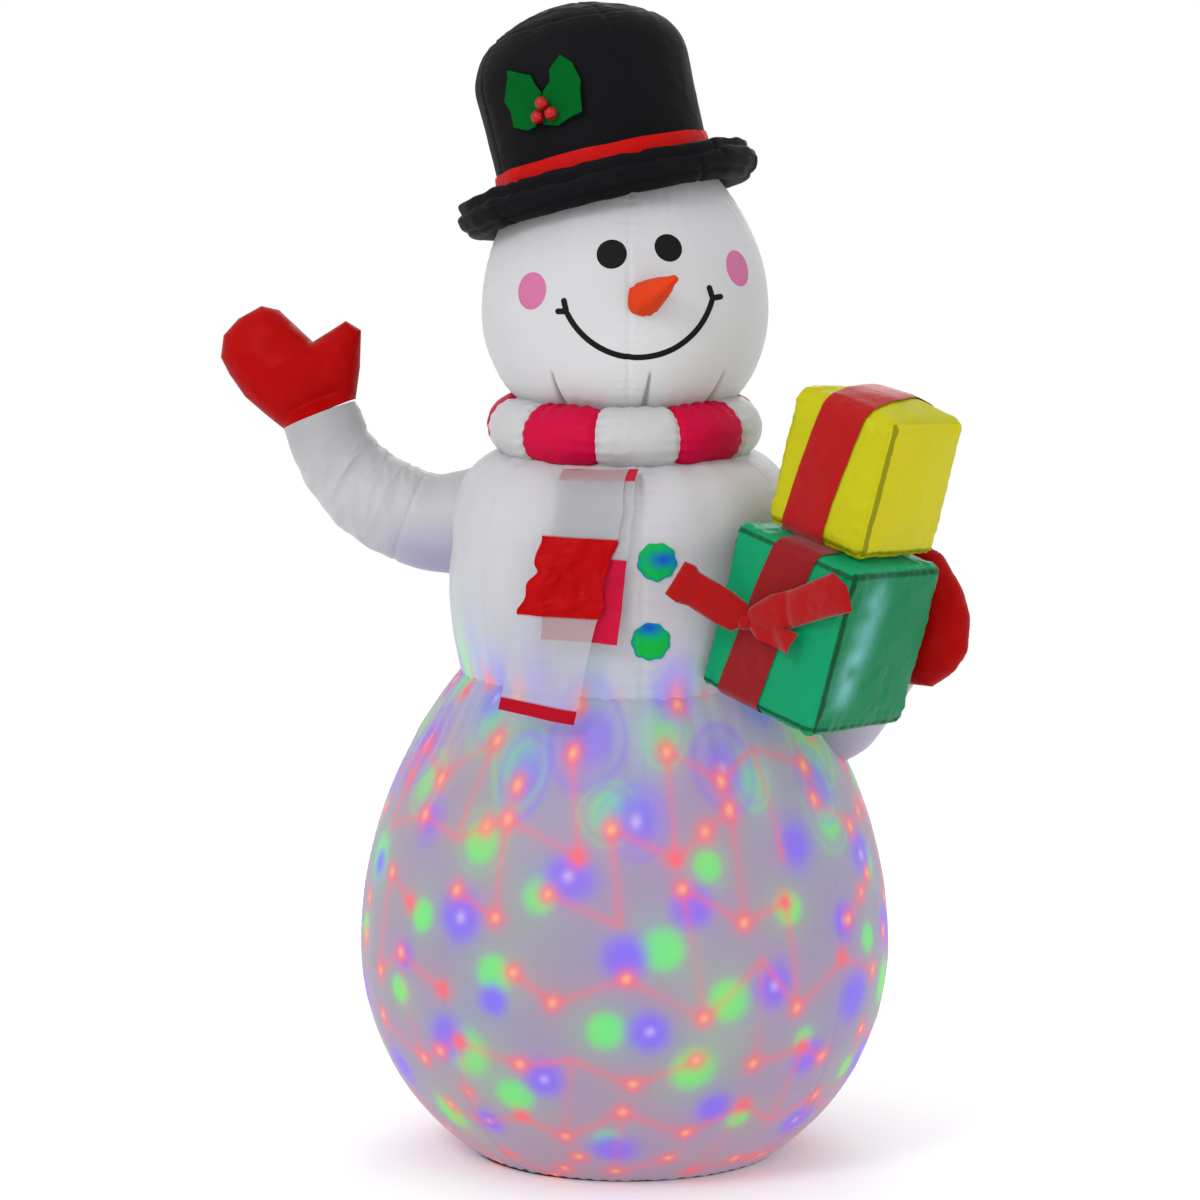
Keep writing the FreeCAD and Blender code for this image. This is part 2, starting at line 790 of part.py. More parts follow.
def ribbon(name, frame, wide, tall, shift, low, high):
    """A flat ribbon round a box's front, back and one end, with rounded corners like the box's."""
    body = padded(
        f"{name}_form",
        [
            (f"-{wide} / 2 - dims.cloth", "-dims.cloth"),
            (f"{wide} / 2 + dims.cloth", "-dims.cloth"),
            (f"{wide} / 2 + dims.cloth", f"{tall} + dims.cloth"),
            (f"-{wide} / 2 - dims.cloth", f"{tall} + dims.cloth"),
        ],
        "dims.ribbon_w",
        placed(frame, x=shift - size("ribbon_w") / 2),
        "YZ_Plane",
    )
    doc.recompute()
    rounded = body.newObject("PartDesign::Fillet", f"{name}_round")
    pad = body.Group[-2]
    along = [
        f"Edge{i + 1}"
        for i, edge in enumerate(pad.Shape.Edges)
        if abs(edge.tangentAt(edge.FirstParameter).x) > 0.9
    ]
    rounded.Base = (pad, along)
    rounded.setExpression("Radius", "dims.present_round + dims.cloth")
    body.Tip = rounded
    span = primitive(
        "Box", f"{name}_span", placed(frame, x=-200, y=-200, z=low), Length=400, Width=400, Height=high - low
    )
    return common(f"{name}_kept", [body, span])


green_band = ribbon("green_ribbon", green_frame, "dims.green_w", "dims.green_h", -24, -10, 312)
keep(cut("green_ribbon_trimmed", green_band, green_form), "green_ribbon")
yellow_band = ribbon("yellow_ribbon", yellow_frame, "dims.yellow_w", "dims.yellow_h", -8, 6, 310)
keep(cut("yellow_ribbon_trimmed", yellow_band, yellow_form), "yellow_ribbon")

# The bow, on the green present's front left side. Its straps run from near the knot to their tips.
KNOT = Vector(236, -478, 1143)


def bow_strap(name, tip, across, width, thick, start):
    """A flat strap from start mm along the line from the knot to the tip. across is its width's direction."""
    along = tip - KNOT
    frame = Placement(KNOT, Rotation(along, Vector(), across, "XZY"))
    return primitive(
        "Box",
        name,
        placed(frame, x=start, y=-thick / 2, z=-number(width) / 2),
        Length=along.Length - start,
        Width=thick,
        Height=width,
    )


left_loop = bow_strap("bow_left_loop", Vector(96, -502, 1230), Vector(0.5, 0, 0.8), "dims.bow_w", 22, 24)
right_tip = Vector(418, -656, 1212)
right_loop = bow_strap("bow_right_loop", right_tip, Vector(-0.2, 0, 1), "dims.bow_w + 14", 22, 30)
short_tail = bow_strap("bow_short_tail", Vector(320, -572, 1106), Vector(0.3, 0, 0.9), 42, 3, 26)
keep(group("bow_loop_pair", [left_loop, right_loop]), "bow_loops")
keep(cut("short_tail_trimmed", short_tail, right_loop), "bow_tail")
knot = primitive("Ellipsoid", "knot", Placement(KNOT, stack_turn), Radius1=15, Radius2=24, Radius3=15)
keep(cut("knot_trimmed", knot, fuse("bow_straps", [left_loop, right_loop, short_tail])), "bow_knot")

# The holding mitten presses its palm on the green present's back right side.
HOLDING_DEPTH = Vector(0.664, 0.748, 0)
HOLDING_LOBES = [
    (Vector(594, -272, 1134), Vector(0.1, -0.12, 1), 140, 98, "dims.palm_deep"),
    (Vector(524, -206, 1178), Vector(-0.1, 0.1, 1), "dims.thumb_long", "dims.thumb_wide", "dims.thumb_wide"),
    (Vector(556, -236, 1078), Vector(0.42, -0.48, 0.77), 74, 80, 70),
]
keep(mitten("holding_mitten", HOLDING_LOBES, HOLDING_DEPTH, holding_wrist, [green_form]), "holding_mitten")

# Blower -----------------------------------------------------------------------------------------------------
# Its axis is the duct frame's Z, which points out of the back.


def ring_body(name, frame, inner, outer, low, high):
    """A plain ring about the frame's Z."""
    return revolved(name, [(inner, low), (outer, low), (outer, high), (inner, high)], place=frame)


duct = revolved(
    "duct",
    [
        ("dims.duct_r - dims.duct_wall", "0"),
        ("dims.duct_r", "0"),
        ("dims.duct_r", "dims.duct_len - dims.duct_flange_len"),
        ("dims.duct_flange_r", "dims.duct_len - dims.duct_flange_len"),
        ("dims.duct_flange_r", "dims.duct_len"),
        ("dims.duct_r - dims.duct_wall", "dims.duct_len"),
    ],
    place=duct_frame,
)
keep(duct, "blower_duct")

grille = revolved(
    "grille",
    [
        ("0", "dims.duct_len"),
        ("dims.duct_flange_r", "dims.duct_len"),
        ("dims.duct_flange_r", "dims.duct_len + dims.grille_len"),
        ("0", "dims.duct_len + dims.grille_len"),
    ],
    place=duct_frame,
)
doc.recompute()


def polar_holes(body, name, inner, outer, width, count, span, start_deg, depth_from):
    """Cuts slots from inner to outer radius through a disc, spread over span degrees."""
    sketch = body.newObject("Sketcher::SketchObject", name + "_outline")
    sketch.AttachmentSupport = [(origin_plane(body, "XY_Plane"), "")]
    sketch.MapMode = "FlatFace"
    sketch.AttachmentOffset = Placement(Vector(0, 0, depth_from), Rotation(Z_AXIS, start_deg))
    corners = [(inner, -width / 2), (outer, -width / 2), (outer, width / 2), (inner, width / 2)]
    corners = [Vector(x, y, 0) for x, y in corners]
    for i, corner in enumerate(corners):
        sketch.addGeometry(Part.LineSegment(corner, corners[(i + 1) % 4]))
    for i in range(4):
        sketch.addConstraint(Sketcher.Constraint("Coincident", i, 2, (i + 1) % 4, 1))
    pocket = body.newObject("PartDesign::Pocket", name + "_pocket")
    pocket.Profile = sketch
    pocket.Length = 40
    pocket.Midplane = True
    doc.recompute()
    before = body.Tip.Shape.Volume
    pattern = body.newObject("PartDesign::PolarPattern", name + "_pattern")
    pattern.Originals = [pocket]
    pattern.Axis = (sketch, ["N_Axis"])
    pattern.Angle = span
    pattern.Occurrences = count
    body.Tip = pattern
    doc.recompute()
    if pattern.Shape.Volume >= before:
        raise RuntimeError(f"{name} cuts nothing")


polar_holes(grille, "inner_slots", 28, 44, 5.5, 18, 340, -80, size("duct_len"))
polar_holes(grille, "outer_slots", 48, 67, 7, 24, 300, -60, size("duct_len"))
gland_hole = primitive(
    "Cylinder",
    "gland_hole",
    placed(duct_frame, y=size("gland_offset"), z=size("duct_len") - 5),
    Radius="dims.gland_bore_r + 1",
    Height=20,
)
keep(cut("grille_with_lead_hole", grille, gland_hole), "intake_grille")

gland = revolved(
    "gland",
    [
        ("dims.gland_bore_r", "0"),
        ("dims.gland_r", "0"),
        ("dims.gland_r", "dims.gland_len * 0.4"),
        ("dims.gland_r - 2.5", "dims.gland_len"),
        ("dims.gland_bore_r", "dims.gland_len"),
    ],
    place=placed(duct_frame, y=size("gland_offset"), z=size("duct_len") + size("grille_len")),
)
keep(gland, "lead_gland")

SCREW_TURNS = (45, 135, 225, 315)
SCREW_AT = 77.5


def grille_screw(count):
    """A pan-head screw on the grille's rim, its shank in the flange."""
    turn = Rotation(Z_AXIS, SCREW_TURNS[count])
    frame = duct_frame.multiply(Placement(Vector(), turn))
    top = size("duct_len") + size("grille_len")
    return revolved(
        f"screw{count}",
        [("0", "0"), ("3.2", "0"), ("2.4", "2"), ("0", "2")],
        place=placed(frame, x=SCREW_AT, z=top),
    )


keep(group("screws", [grille_screw(i) for i in range(len(SCREW_TURNS))]), "grille_screws")

# The motor sits on the stator's hub, with the fan outboard of it.
STATOR_LEN = 8
stator_hub = ring_body("stator_hub", duct_frame, "4", "dims.motor_r + 4", "6", f"6 + {STATOR_LEN}")
stator_rim = ring_body(
    "stator_rim",
    duct_frame,
    "dims.duct_r - dims.duct_wall - 3",
    "dims.duct_r - dims.duct_wall",
    "6",
    f"6 + {STATOR_LEN}",
)
vanes = [
    primitive(
        "Box",
        f"vane{i}",
        duct_frame.multiply(Placement(Vector(), Rotation(Z_AXIS, i * 72))).multiply(
            Placement(Vector(size("motor_r") + 2, -1.5, 6), Rotation())
        ),
        Length="dims.duct_r - dims.duct_wall - dims.motor_r - 3",
        Width=3,
        Height=STATOR_LEN,
    )
    for i in range(5)
]
keep(fuse("stator_parts", [stator_hub, stator_rim, *vanes]), "blower_stator")

MOTOR_FOOT = 6 + STATOR_LEN
motor = revolved(
    "motor",
    [
        ("0", f"{MOTOR_FOOT}"),
        ("dims.motor_r", f"{MOTOR_FOOT}"),
        ("dims.motor_r", f"{MOTOR_FOOT} + dims.motor_len"),
        ("8", f"{MOTOR_FOOT} + dims.motor_len"),
        ("8", f"{MOTOR_FOOT} + dims.motor_len + 3"),
        ("2.6", f"{MOTOR_FOOT} + dims.motor_len + 3"),
        ("2.6", f"{MOTOR_FOOT} + dims.motor_len - 6"),
        ("0", f"{MOTOR_FOOT} + dims.motor_len - 6"),
    ],
    place=duct_frame,
)
keep(motor, "blower_motor")

SHAFT_R = 2.5
FAN_FOOT = MOTOR_FOOT + size("motor_len") + 8
shaft = primitive(
    "Cylinder",
    "fan_shaft_rod",
    placed(duct_frame, z=MOTOR_FOOT + size("motor_len") - 5),
    Radius=SHAFT_R,
    Height="dims.fan_len + 8",
)
keep(shaft, "fan_shaft")

fan_hub = revolved(
    "fan_hub",
    [
        (f"{SHAFT_R}", f"{FAN_FOOT}"),
        ("dims.fan_hub_r", f"{FAN_FOOT}"),
        ("dims.fan_hub_r", f"{FAN_FOOT} + dims.fan_len - 6"),
        ("dims.fan_hub_r - 8", f"{FAN_FOOT} + dims.fan_len"),
        (f"{SHAFT_R}", f"{FAN_FOOT} + dims.fan_len"),
    ],
    place=duct_frame,
)
BLADE_COUNT, BLADE_PITCH = 7, 38
blades = [
    primitive(
        "Box",
        f"blade{i}",
        duct_frame.multiply(Placement(Vector(), Rotation(Z_AXIS, 17 + i * 360 / BLADE_COUNT)))
        .multiply(Placement(Vector(size("fan_hub_r") - 3, 0, FAN_FOOT + size("fan_len") / 2), Rotation()))
        .multiply(Placement(Vector(), Rotation(X_AXIS, BLADE_PITCH)))
        .multiply(Placement(Vector(0, -1, -14), Rotation())),
        Length="dims.fan_r - dims.fan_hub_r + 2",
        Width=2,
        Height=28,
    )
    for i in range(BLADE_COUNT)
]
keep(fuse("fan_solid", [fan_hub, *blades]), "fan_impeller")

collar = ring_body(
    "collar",
    duct_frame,
    "dims.duct_r + dims.gap",
    "dims.duct_r + dims.gap + dims.skin",
    "-40",
    "dims.duct_len - 8",
)
keep(cut("collar_trimmed", collar, belly_outer), "blower_collar")
keep(
    ring_body(
        "strap",
        duct_frame,
        "dims.duct_r + dims.gap + dims.skin",
        "dims.duct_r + dims.gap + dims.skin + 2",
        "dims.duct_len - 22",
        "dims.duct_len - 10",
    ),
    "collar_strap",
)

# Projector --------------------------------------------------------------------------------------------------

PLATE_R = 78
PLATE_H = 3
plate_frame = Placement(Vector(0, 0, size("panel")), Rotation())
plate_z = size("panel")
keep(
    primitive("Cylinder", "mount_disc", plate_frame, Radius=PLATE_R, Height=PLATE_H),
    "projector_plate",
)
housing_z = plate_z + PLATE_H
housing_frame = Placement(Vector(0, 0, housing_z), Rotation())
keep(
    revolved(
        "housing",
        [
            ("0", "0"),
            ("dims.lamp_base_r + 4", "0"),
            ("dims.lamp_base_r", "dims.lamp_base_h"),
            ("dims.lamp_base_r - 2.5", "dims.lamp_base_h"),
            ("dims.lamp_base_r - 2.5", "2.5"),
            ("0", "2.5"),
        ],
        place=housing_frame,
    ),
    "projector_housing",
)
keep(
    revolved(
        "lens_motor_body",
        [("0", "2.5"), ("14", "2.5"), ("14", "22"), ("2.1", "22"), ("2.1", "16"), ("0", "16")],
        place=housing_frame,
    ),
    "lens_motor",
)
BOARD_Z = 26
keep(
    ring_body("board", housing_frame, "4", "dims.lamp_base_r - 2.6", f"{BOARD_Z}", f"{BOARD_Z} + 1.6"),
    "led_board",
)


def led(count):
    """A domed emitter on the board."""
    frame = housing_frame.multiply(Placement(Vector(), Rotation(Z_AXIS, 90 + count * 120)))
    return revolved(
        f"led{count}",
        [("0", "0"), ("6", "0"), ("6", "2"), ("3.5", "4.5"), ("0", "5.5")],
        place=placed(frame, x=24, z=BOARD_Z + 1.6),
    )


keep(group("emitters", [led(i) for i in range(3)]), "rgb_emitters")

LENS_FOOT = size("lamp_base_h") + 1
lens_frame = placed(housing_frame, z=LENS_FOOT)
lens_outer = primitive("Sphere", "lens_outer", lens_frame, Radius="dims.lens_r", Angle1=0, Angle2=90)
lens_inner = primitive(
    "Sphere", "lens_inner", lens_frame, Radius="dims.lens_r - dims.lens_wall", Angle1=0, Angle2=90
)
LENS_BOSS_R = 6
lens_boss = ring_body("lens_boss", lens_frame, "2", f"{LENS_BOSS_R}", "dims.lens_r - 12", "dims.lens_r - 1")
lens_hole = primitive("Cylinder", "lens_hole", lens_frame, Radius=2, Height="dims.lens_r - 4")
keep(
    cut("lens_bored", fuse("lens_solid", [cut("lens_shell", lens_outer, lens_inner), lens_boss]), lens_hole),
    "lens_dome",
)
keep(
    primitive(
        "Cylinder",
        "lens_shaft_rod",
        placed(housing_frame, z=17),
        Radius=2,
        Height=f"{LENS_FOOT - 17} + dims.lens_r - 4.5",
    ),
    "lens_shaft",
)

# Lamps ------------------------------------------------------------------------------------------------------

RIBBON_FOOT = Vector(0, 120, size("panel"))
RIBBON_W = 20
crown_top = hat_frame.multVec(Vector(0, 0, size("crown_top_z") - 6))
ribbon_line = crown_top - RIBBON_FOOT
ribbon_frame = Placement(RIBBON_FOOT, Rotation(Vector(), Y_AXIS, ribbon_line, "ZYX"))
keep(
    primitive(
        "Box",
        "ribbon",
        placed(ribbon_frame, x=-RIBBON_W / 2, y=-0.5, z=1),
        Length=RIBBON_W,
        Width=1,
        Height=ribbon_line.Length - 2,
    ),
    "lamp_ribbon",
)
PRESENT_LAMP = placed(green_frame, x=40, y=size("green_w") / 2 - 26, z=170)
lamp_frames = [
    placed(ribbon_frame, y=-13, z=(z - size("panel")) / ribbon_line.normalize().z) for z in (1285, 1650)
] + [PRESENT_LAMP]
holders, bulbs = [], []
for i, frame in enumerate(lamp_frames):
    holders.append(
        revolved(f"holder{i}", [("0", "0"), ("11", "0"), ("12", "28"), ("0", "28")], place=placed(frame, z=-28))
    )
    bulbs.append(
        revolved(f"bulb{i}", [("0", "0"), ("9", "0"), ("9", "14"), ("0", "23")], {2: ("9", 1)}, frame)
    )
keep(group("lamp_holder_set", holders), "lamp_holders")
keep(group("lamp_bulb_set", bulbs), "lamp_bulbs")

# Zip --------------------------------------------------------------------------------------------------------
# It follows the upper arc of the lower body's back, whose centre line is parallel to X.

ARC_CENTRE_Y = size("belly_r") - size("belly_high_arc")
zip_frame = Placement(Vector(0, ARC_CENTRE_Y, size("belly_z")), Rotation())


def arc_strip(name, near, far, width, from_deg, sweep_deg):
    """A strip bent along the back, from one angle above the level to another."""
    body = doc.addObject("PartDesign::Body", name)
    half = width / 2
    points = [(f"{-half}", near), (f"{half}", near), (f"{half}", far), (f"{-half}", far)]
    sketch = outline(body, name + "_outline", "XY_Plane", points)
    turned = body.newObject("PartDesign::Revolution", name + "_turned")
    turned.Profile = sketch
    turned.ReferenceAxis = (sketch, ["H_Axis"])
    turned.setExpression("Angle", str(sweep_deg))
    body.Placement = zip_frame.multiply(Placement(Vector(), Rotation(X_AXIS, from_deg)))
    return body


ARC_R = "dims.belly_high_arc"
keep(
    arc_strip(
        "tape", f"{ARC_R} + 0.3", f"{ARC_R} + 1.3", size("tape_w"), size("zip_low_deg"), "dims.zip_sweep_deg"
    ),
    "zip_tape",
)
keep(
    arc_strip(
        "coil", f"{ARC_R} + 1.3", f"{ARC_R} + 3.1", size("coil_w"), size("zip_low_deg"), "dims.zip_sweep_deg"
    ),
    "zip_coil",
)
zip_top_deg = size("zip_low_deg") + size("zip_sweep_deg")
STOP_DEG = 0.3
keep(
    group(
        "stops",
        [
            arc_strip(f"stop{i}", f"{ARC_R} + 3.2", f"{ARC_R} + 4.6", 9, at, f"{STOP_DEG}")
            for i, at in enumerate((size("zip_low_deg"), zip_top_deg - STOP_DEG))
        ],
    ),
    "zip_stops",
)
SLIDER_DEG = 1.2
slider_from = zip_top_deg - STOP_DEG - SLIDER_DEG - 0.05
slider_plate = arc_strip("slider_plate", f"{ARC_R} + 3.3", f"{ARC_R} + 5.3", 13, slider_from, f"{SLIDER_DEG}")
mid_deg = slider_from + SLIDER_DEG / 2
slider_frame = zip_frame.multiply(Placement(Vector(), Rotation(X_AXIS, mid_deg)))
BAIL_Y = size("belly_high_arc") + 5.2
bail_frame = placed(slider_frame, y=BAIL_Y)
bail_posts = [
    primitive("Box", f"bail_post{i}", placed(bail_frame, x=x, y=0, z=-2), Length=1.8, Width=5, Height=4)
    for i, x in enumerate((-5, 3.2))
]
bail_bar = primitive(
    "Cylinder",
    "bail_bar",
    placed(bail_frame, x=-4, y=3.2, turn=Rotation(Y_AXIS, 90)),
    Radius=0.9,
    Height=8,
)
keep(fuse("slider_solid", [slider_plate, *bail_posts, bail_bar]), "zip_slider")
pull_eye = ring_body(
    "pull_eye", placed(bail_frame, x=-2.8, y=3.2, turn=Rotation(Y_AXIS, 90)), "1.0", "2.2", "0", "5.6"
)
pull_plate = primitive(
    "Box", "pull_plate", placed(bail_frame, x=-2.8, y=2.2, z=-26), Length=5.6, Width=1.6, Height=24.6
)
pull_axis = placed(bail_frame, x=-10, y=3.2, turn=Rotation(Y_AXIS, 90))
pull_room = primitive("Cylinder", "pull_room", pull_axis, Radius=1.0, Height=20)
keep(cut("pull_bored", fuse("pull_solid", [pull_eye, pull_plate]), pull_room), "zip_pull")

# Tethers ----------------------------------------------------------------------------------------------------

RING_TURNS = (-58, 0, 58)
RING_Z = 118
RING_NAMES = ("tether_ring_left", "tether_ring_back", "tether_ring_right")


def wall_r(z):
    """The upper body's radius low on its wall, at a height in its own frame."""
    rise = (z - size("torso_low_z")) / (size("torso_wall_z") - size("torso_low_z"))
    chord = size("torso_low_r") + rise * (size("torso_r") - size("torso_low_r"))
    half = math.hypot(size("torso_r") - size("torso_low_r"), size("torso_wall_z") - size("torso_low_z")) / 2
    arc = size("torso_low_arc")
    bow = math.sqrt(arc**2 - (half * (2 * rise - 1)) ** 2) - math.sqrt(arc**2 - half**2)
    return chord + bow


def tether(turn_deg, name):
    """A D ring in a webbing loop on the back of the upper body. The ring hangs from its straight bar."""
    bar = size("ring_bar")
    wire = size("ring_wire_r")
    on_wall = Rotation(Z_AXIS, turn_deg).multVec(Vector(0, wall_r(RING_Z), RING_Z))
    frame = Placement(torso_frame.multVec(on_wall), Rotation(Z_AXIS, turn_deg))
    pivot = placed(frame, y=7.5)
    straight = primitive(
        "Cylinder",
        name + "_bar",
        placed(pivot, x=-bar / 2, turn=Rotation(Y_AXIS, 90)),
        Radius="dims.ring_wire_r",
        Height="dims.ring_bar",
    )
    bow = primitive(
        "Torus",
        name + "_bow",
        placed(pivot, turn=Rotation(X_AXIS, -90)),
        Radius1="dims.ring_bar / 2",
        Radius2="dims.ring_wire_r",
        Angle3=180,
    )
    ends = [
        primitive("Sphere", f"{name}_corner{i}", placed(pivot, x=x), Radius="dims.ring_wire_r")
        for i, x in enumerate((-bar / 2, bar / 2))
    ]
    keep(fuse(name + "_wire", [straight, bow, *ends]), name)
    across = placed(pivot, x=-10, turn=Rotation(Y_AXIS, 90))
    loop = ring_body(name + "_loop", across, f"{wire + 0.5}", "4", "0", "20")
    patch = primitive("Box", name + "_patch", placed(frame, x=-10, y=-1.5, z=3), Length=20, Width=6.5, Height=26)
    webbing = fuse(name + "_webbing", [loop, patch])
    room = primitive(
        "Cylinder",
        name + "_room",
        placed(pivot, x=-20, turn=Rotation(Y_AXIS, 90)),
        Radius=f"{wire + 0.5}",
        Height=40,
    )
    return cut(name + "_tab", cut(name + "_webbing_bored", webbing, room), torso_outer), pivot


tabs, pivots = zip(*[tether(turn, name) for turn, name in zip(RING_TURNS, RING_NAMES)])
keep(group("tether_tab_set", list(tabs)), "tether_tabs")

STRAP_TURNS = (-45, 45)
straps, eyelets = [], []
for i, turn in enumerate(STRAP_TURNS):
    frame = Placement(Vector(), Rotation(Z_AXIS, turn))
    web = primitive(
        "Box",
        f"stake_web{i}",
        placed(frame, x=-size("strap_w") / 2, y=size("base_r") + 0.5),
        Length="dims.strap_w",
        Width="dims.strap_reach + 19 - dims.base_r",
        Height=2,
    )
    hole = primitive(
        "Cylinder",
        f"stake_hole{i}",
        placed(frame, y=size("strap_reach"), z=-5),
        Radius="dims.eyelet_bore_r + 1",
        Height=20,
    )
    straps.append(cut(f"stake_strap{i}", web, hole))
    eyelets.append(
        revolved(
            f"eyelet{i}",
            [
                ("dims.eyelet_bore_r", "0"),
                ("dims.eyelet_bore_r + 1", "0"),
                ("dims.eyelet_bore_r + 1", "2"),
                ("dims.eyelet_rim_r", "2"),
                ("dims.eyelet_rim_r", "3"),
                ("dims.eyelet_bore_r", "3"),
            ],
            place=placed(frame, y=size("strap_reach")),
        )
    )
keep(group("stake_strap_set", straps), "stake_straps")
keep(group("eyelet_set", eyelets), "stake_eyelets")

# Write ------------------------------------------------------------------------------------------------------

doc.recompute()
for thing in doc.Objects:
    if {"Invalid", "Error"} & set(thing.State):
        raise RuntimeError(f"{thing.Name} ({thing.Label}) failed: {thing.State}")
os.makedirs("parts", exist_ok=True)
for old in os.listdir("parts"):
    os.remove(os.path.join("parts", old))
for piece in parts:
    shape = piece.Shape
    if shape.isNull() or not shape.isValid() or not shape.Solids:
        raise RuntimeError(f"{piece.Label} has no valid solid")
    shape.exportStep(f"parts/{piece.Label}.step")
    box = shape.BoundBox
    print(
        f"{piece.Label:22s} solids {len(shape.Solids):2d}  volume {shape.Volume / 1000:9.1f} cm3  "
        f"x {box.XMin:7.1f} {box.XMax:7.1f}  y {box.YMin:7.1f} {box.YMax:7.1f}  z {box.ZMin:7.1f} {box.ZMax:7.1f}"
    )
for name, pivot in zip(RING_NAMES, pivots):
    axis = [round(v, 4) for v in pivot.Rotation.multVec(X_AXIS)]
    print(name, "turns about", [round(v, 2) for v in pivot.Base], axis)
bail = bail_frame.multVec(Vector(0, 3.2, 0))
print("zip pull turns about", [round(v, 2) for v in bail])
slider_travel = slider_from - size("zip_low_deg") - STOP_DEG
print("slider turns about", ARC_CENTRE_Y, size("belly_z"), "over", slider_travel)
print("gland", placed(duct_frame, y=size("gland_offset"), z=size("duct_len") + size("grille_len")).Base)
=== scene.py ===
"""Looks of the inflatable yard snowman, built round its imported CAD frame. Lengths are in metres."""

import math

import bpy
import numpy as np
from mathutils import Matrix, Vector
from mathutils.geometry import delaunay_2d_cdt


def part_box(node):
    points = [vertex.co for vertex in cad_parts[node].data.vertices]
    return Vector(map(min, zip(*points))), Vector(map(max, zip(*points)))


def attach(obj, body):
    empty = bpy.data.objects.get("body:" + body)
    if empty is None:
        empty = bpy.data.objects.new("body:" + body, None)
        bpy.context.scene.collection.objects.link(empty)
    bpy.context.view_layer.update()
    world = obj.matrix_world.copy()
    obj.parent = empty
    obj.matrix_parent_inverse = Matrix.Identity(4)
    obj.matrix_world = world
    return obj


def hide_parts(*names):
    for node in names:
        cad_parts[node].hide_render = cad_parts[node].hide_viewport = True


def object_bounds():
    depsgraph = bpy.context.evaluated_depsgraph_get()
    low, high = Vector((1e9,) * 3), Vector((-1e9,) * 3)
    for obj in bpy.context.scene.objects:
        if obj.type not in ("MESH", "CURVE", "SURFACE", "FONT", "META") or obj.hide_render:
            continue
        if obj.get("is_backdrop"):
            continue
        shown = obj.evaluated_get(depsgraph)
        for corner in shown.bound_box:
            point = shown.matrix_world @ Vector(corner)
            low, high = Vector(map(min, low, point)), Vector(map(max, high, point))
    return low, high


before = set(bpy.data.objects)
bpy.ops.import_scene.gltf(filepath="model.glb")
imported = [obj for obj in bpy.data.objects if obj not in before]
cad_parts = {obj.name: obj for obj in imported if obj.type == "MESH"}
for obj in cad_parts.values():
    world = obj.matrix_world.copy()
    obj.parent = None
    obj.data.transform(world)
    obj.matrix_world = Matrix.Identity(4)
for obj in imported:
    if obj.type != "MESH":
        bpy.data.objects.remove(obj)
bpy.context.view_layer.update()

FRONT_TURN = math.radians(5.5)  # the front seam sits a little towards +X
TORSO = Matrix.Translation((0, -0.028, 1.014)) @ Matrix.Rotation(math.radians(7.5), 4, "X")
HEAD = Matrix.Translation((0, -0.093, 0))
HAT = Matrix.Translation((-0.033, -0.093, 1.992)) @ Matrix.Rotation(math.radians(-12.5), 4, "Y")
WORLD = Matrix.Identity(4)


# ---------------------------------------------------------------- numbers and noise


def rgb(red, green, blue):
    """A screen colour from 0 to 255 as linear light."""
    c = np.array([red, green, blue]) / 255.0
    return np.where(c <= 0.04045, c / 12.92, ((c + 0.055) / 1.055) ** 2.4)


def smooth(low, high, value):
    """0 below low, 1 above high, and a smooth step between."""
    t = np.clip((value - low) / (high - low), 0, 1)
    return t * t * (3 - 2 * t)


def bump(value, width):
    """A soft bell of that half width about zero."""
    return np.exp(-((value / width) ** 2))


def noise(points, size, seed):
    """Smooth seeded noise from -1 to 1 whose features are about size across. size may differ per axis."""
    shape = points.shape[:-1]
    p = points.reshape(-1, 3) / np.array(size) + 500.0 + seed * 7.31
    cell = np.floor(p).astype(np.int64)
    f = p - cell
    f = f * f * (3 - 2 * f)
    total = np.zeros(len(p))
    for corner in range(8):
        step = np.array([corner & 1, corner >> 1 & 1, corner >> 2 & 1])
        c = cell + step
        h = (c[:, 0] * 73856093) ^ (c[:, 1] * 19349663) ^ (c[:, 2] * 83492791) ^ (seed * 15485863)
        h = ((h ^ (h >> 13)) * 1274126177) & 0xFFFFFFFF
        h = (h ^ (h >> 15)) & 0xFFFF
        weight = np.prod(np.where(step == 1, f, 1 - f), axis=1)
        total += weight * (h / 32767.5 - 1)
    return total.reshape(shape)


def creases(points, size, seed):
    """Sharp folds between soft dents, from -1 in the dents to 1 on the fold lines."""
    return 1 - 2.6 * np.abs(noise(points, size, seed) + 0.4 * noise(points, np.array(size) / 2.3, seed + 1))


def arc(a, b, radius, count=60):
    """Points from a to b, each (radius, height), along an arc that bulges outwards."""
    a, b = np.array(a, float), np.array(b, float)
    chord = b - a
    length = np.linalg.norm(chord)
    along = chord / length
    out = np.array([along[1], -along[0]])
    centre = (a + b) / 2 - out * math.sqrt(radius**2 - length**2 / 4)
    t0, t1 = (math.atan2(p[1] - centre[1], p[0] - centre[0]) for p in (a, b))
    t = np.linspace(t0, t1, count)
    return np.stack([centre[0] + radius * np.cos(t), centre[1] + radius * np.sin(t)], 1)


def blend(first, second, share):
    """first mixed with second by share."""
    return first * (1 - share) + second * share


def polar(values, columns, start=0.0):
    """Grids of values down the rows and of angles once round the columns."""
    return np.meshgrid(values, start + np.linspace(0, 2 * math.pi, columns, endpoint=False), indexing="ij")


def around(radius, turn, height):
    """Points at that radius and height, turned from the front towards +X."""
    return np.stack([radius * np.sin(turn), -radius * np.cos(turn), height + 0 * turn], -1)


def sphere(rows, columns, pole):
    """A unit sphere as a grid that stops at the angle pole from its two ends."""
    a, b = polar(np.linspace(pole, math.pi - pole, rows), columns)
    return np.stack([np.sin(a) * np.cos(b), -np.sin(a) * np.sin(b), np.cos(a)], -1)


# ---------------------------------------------------------------- meshes


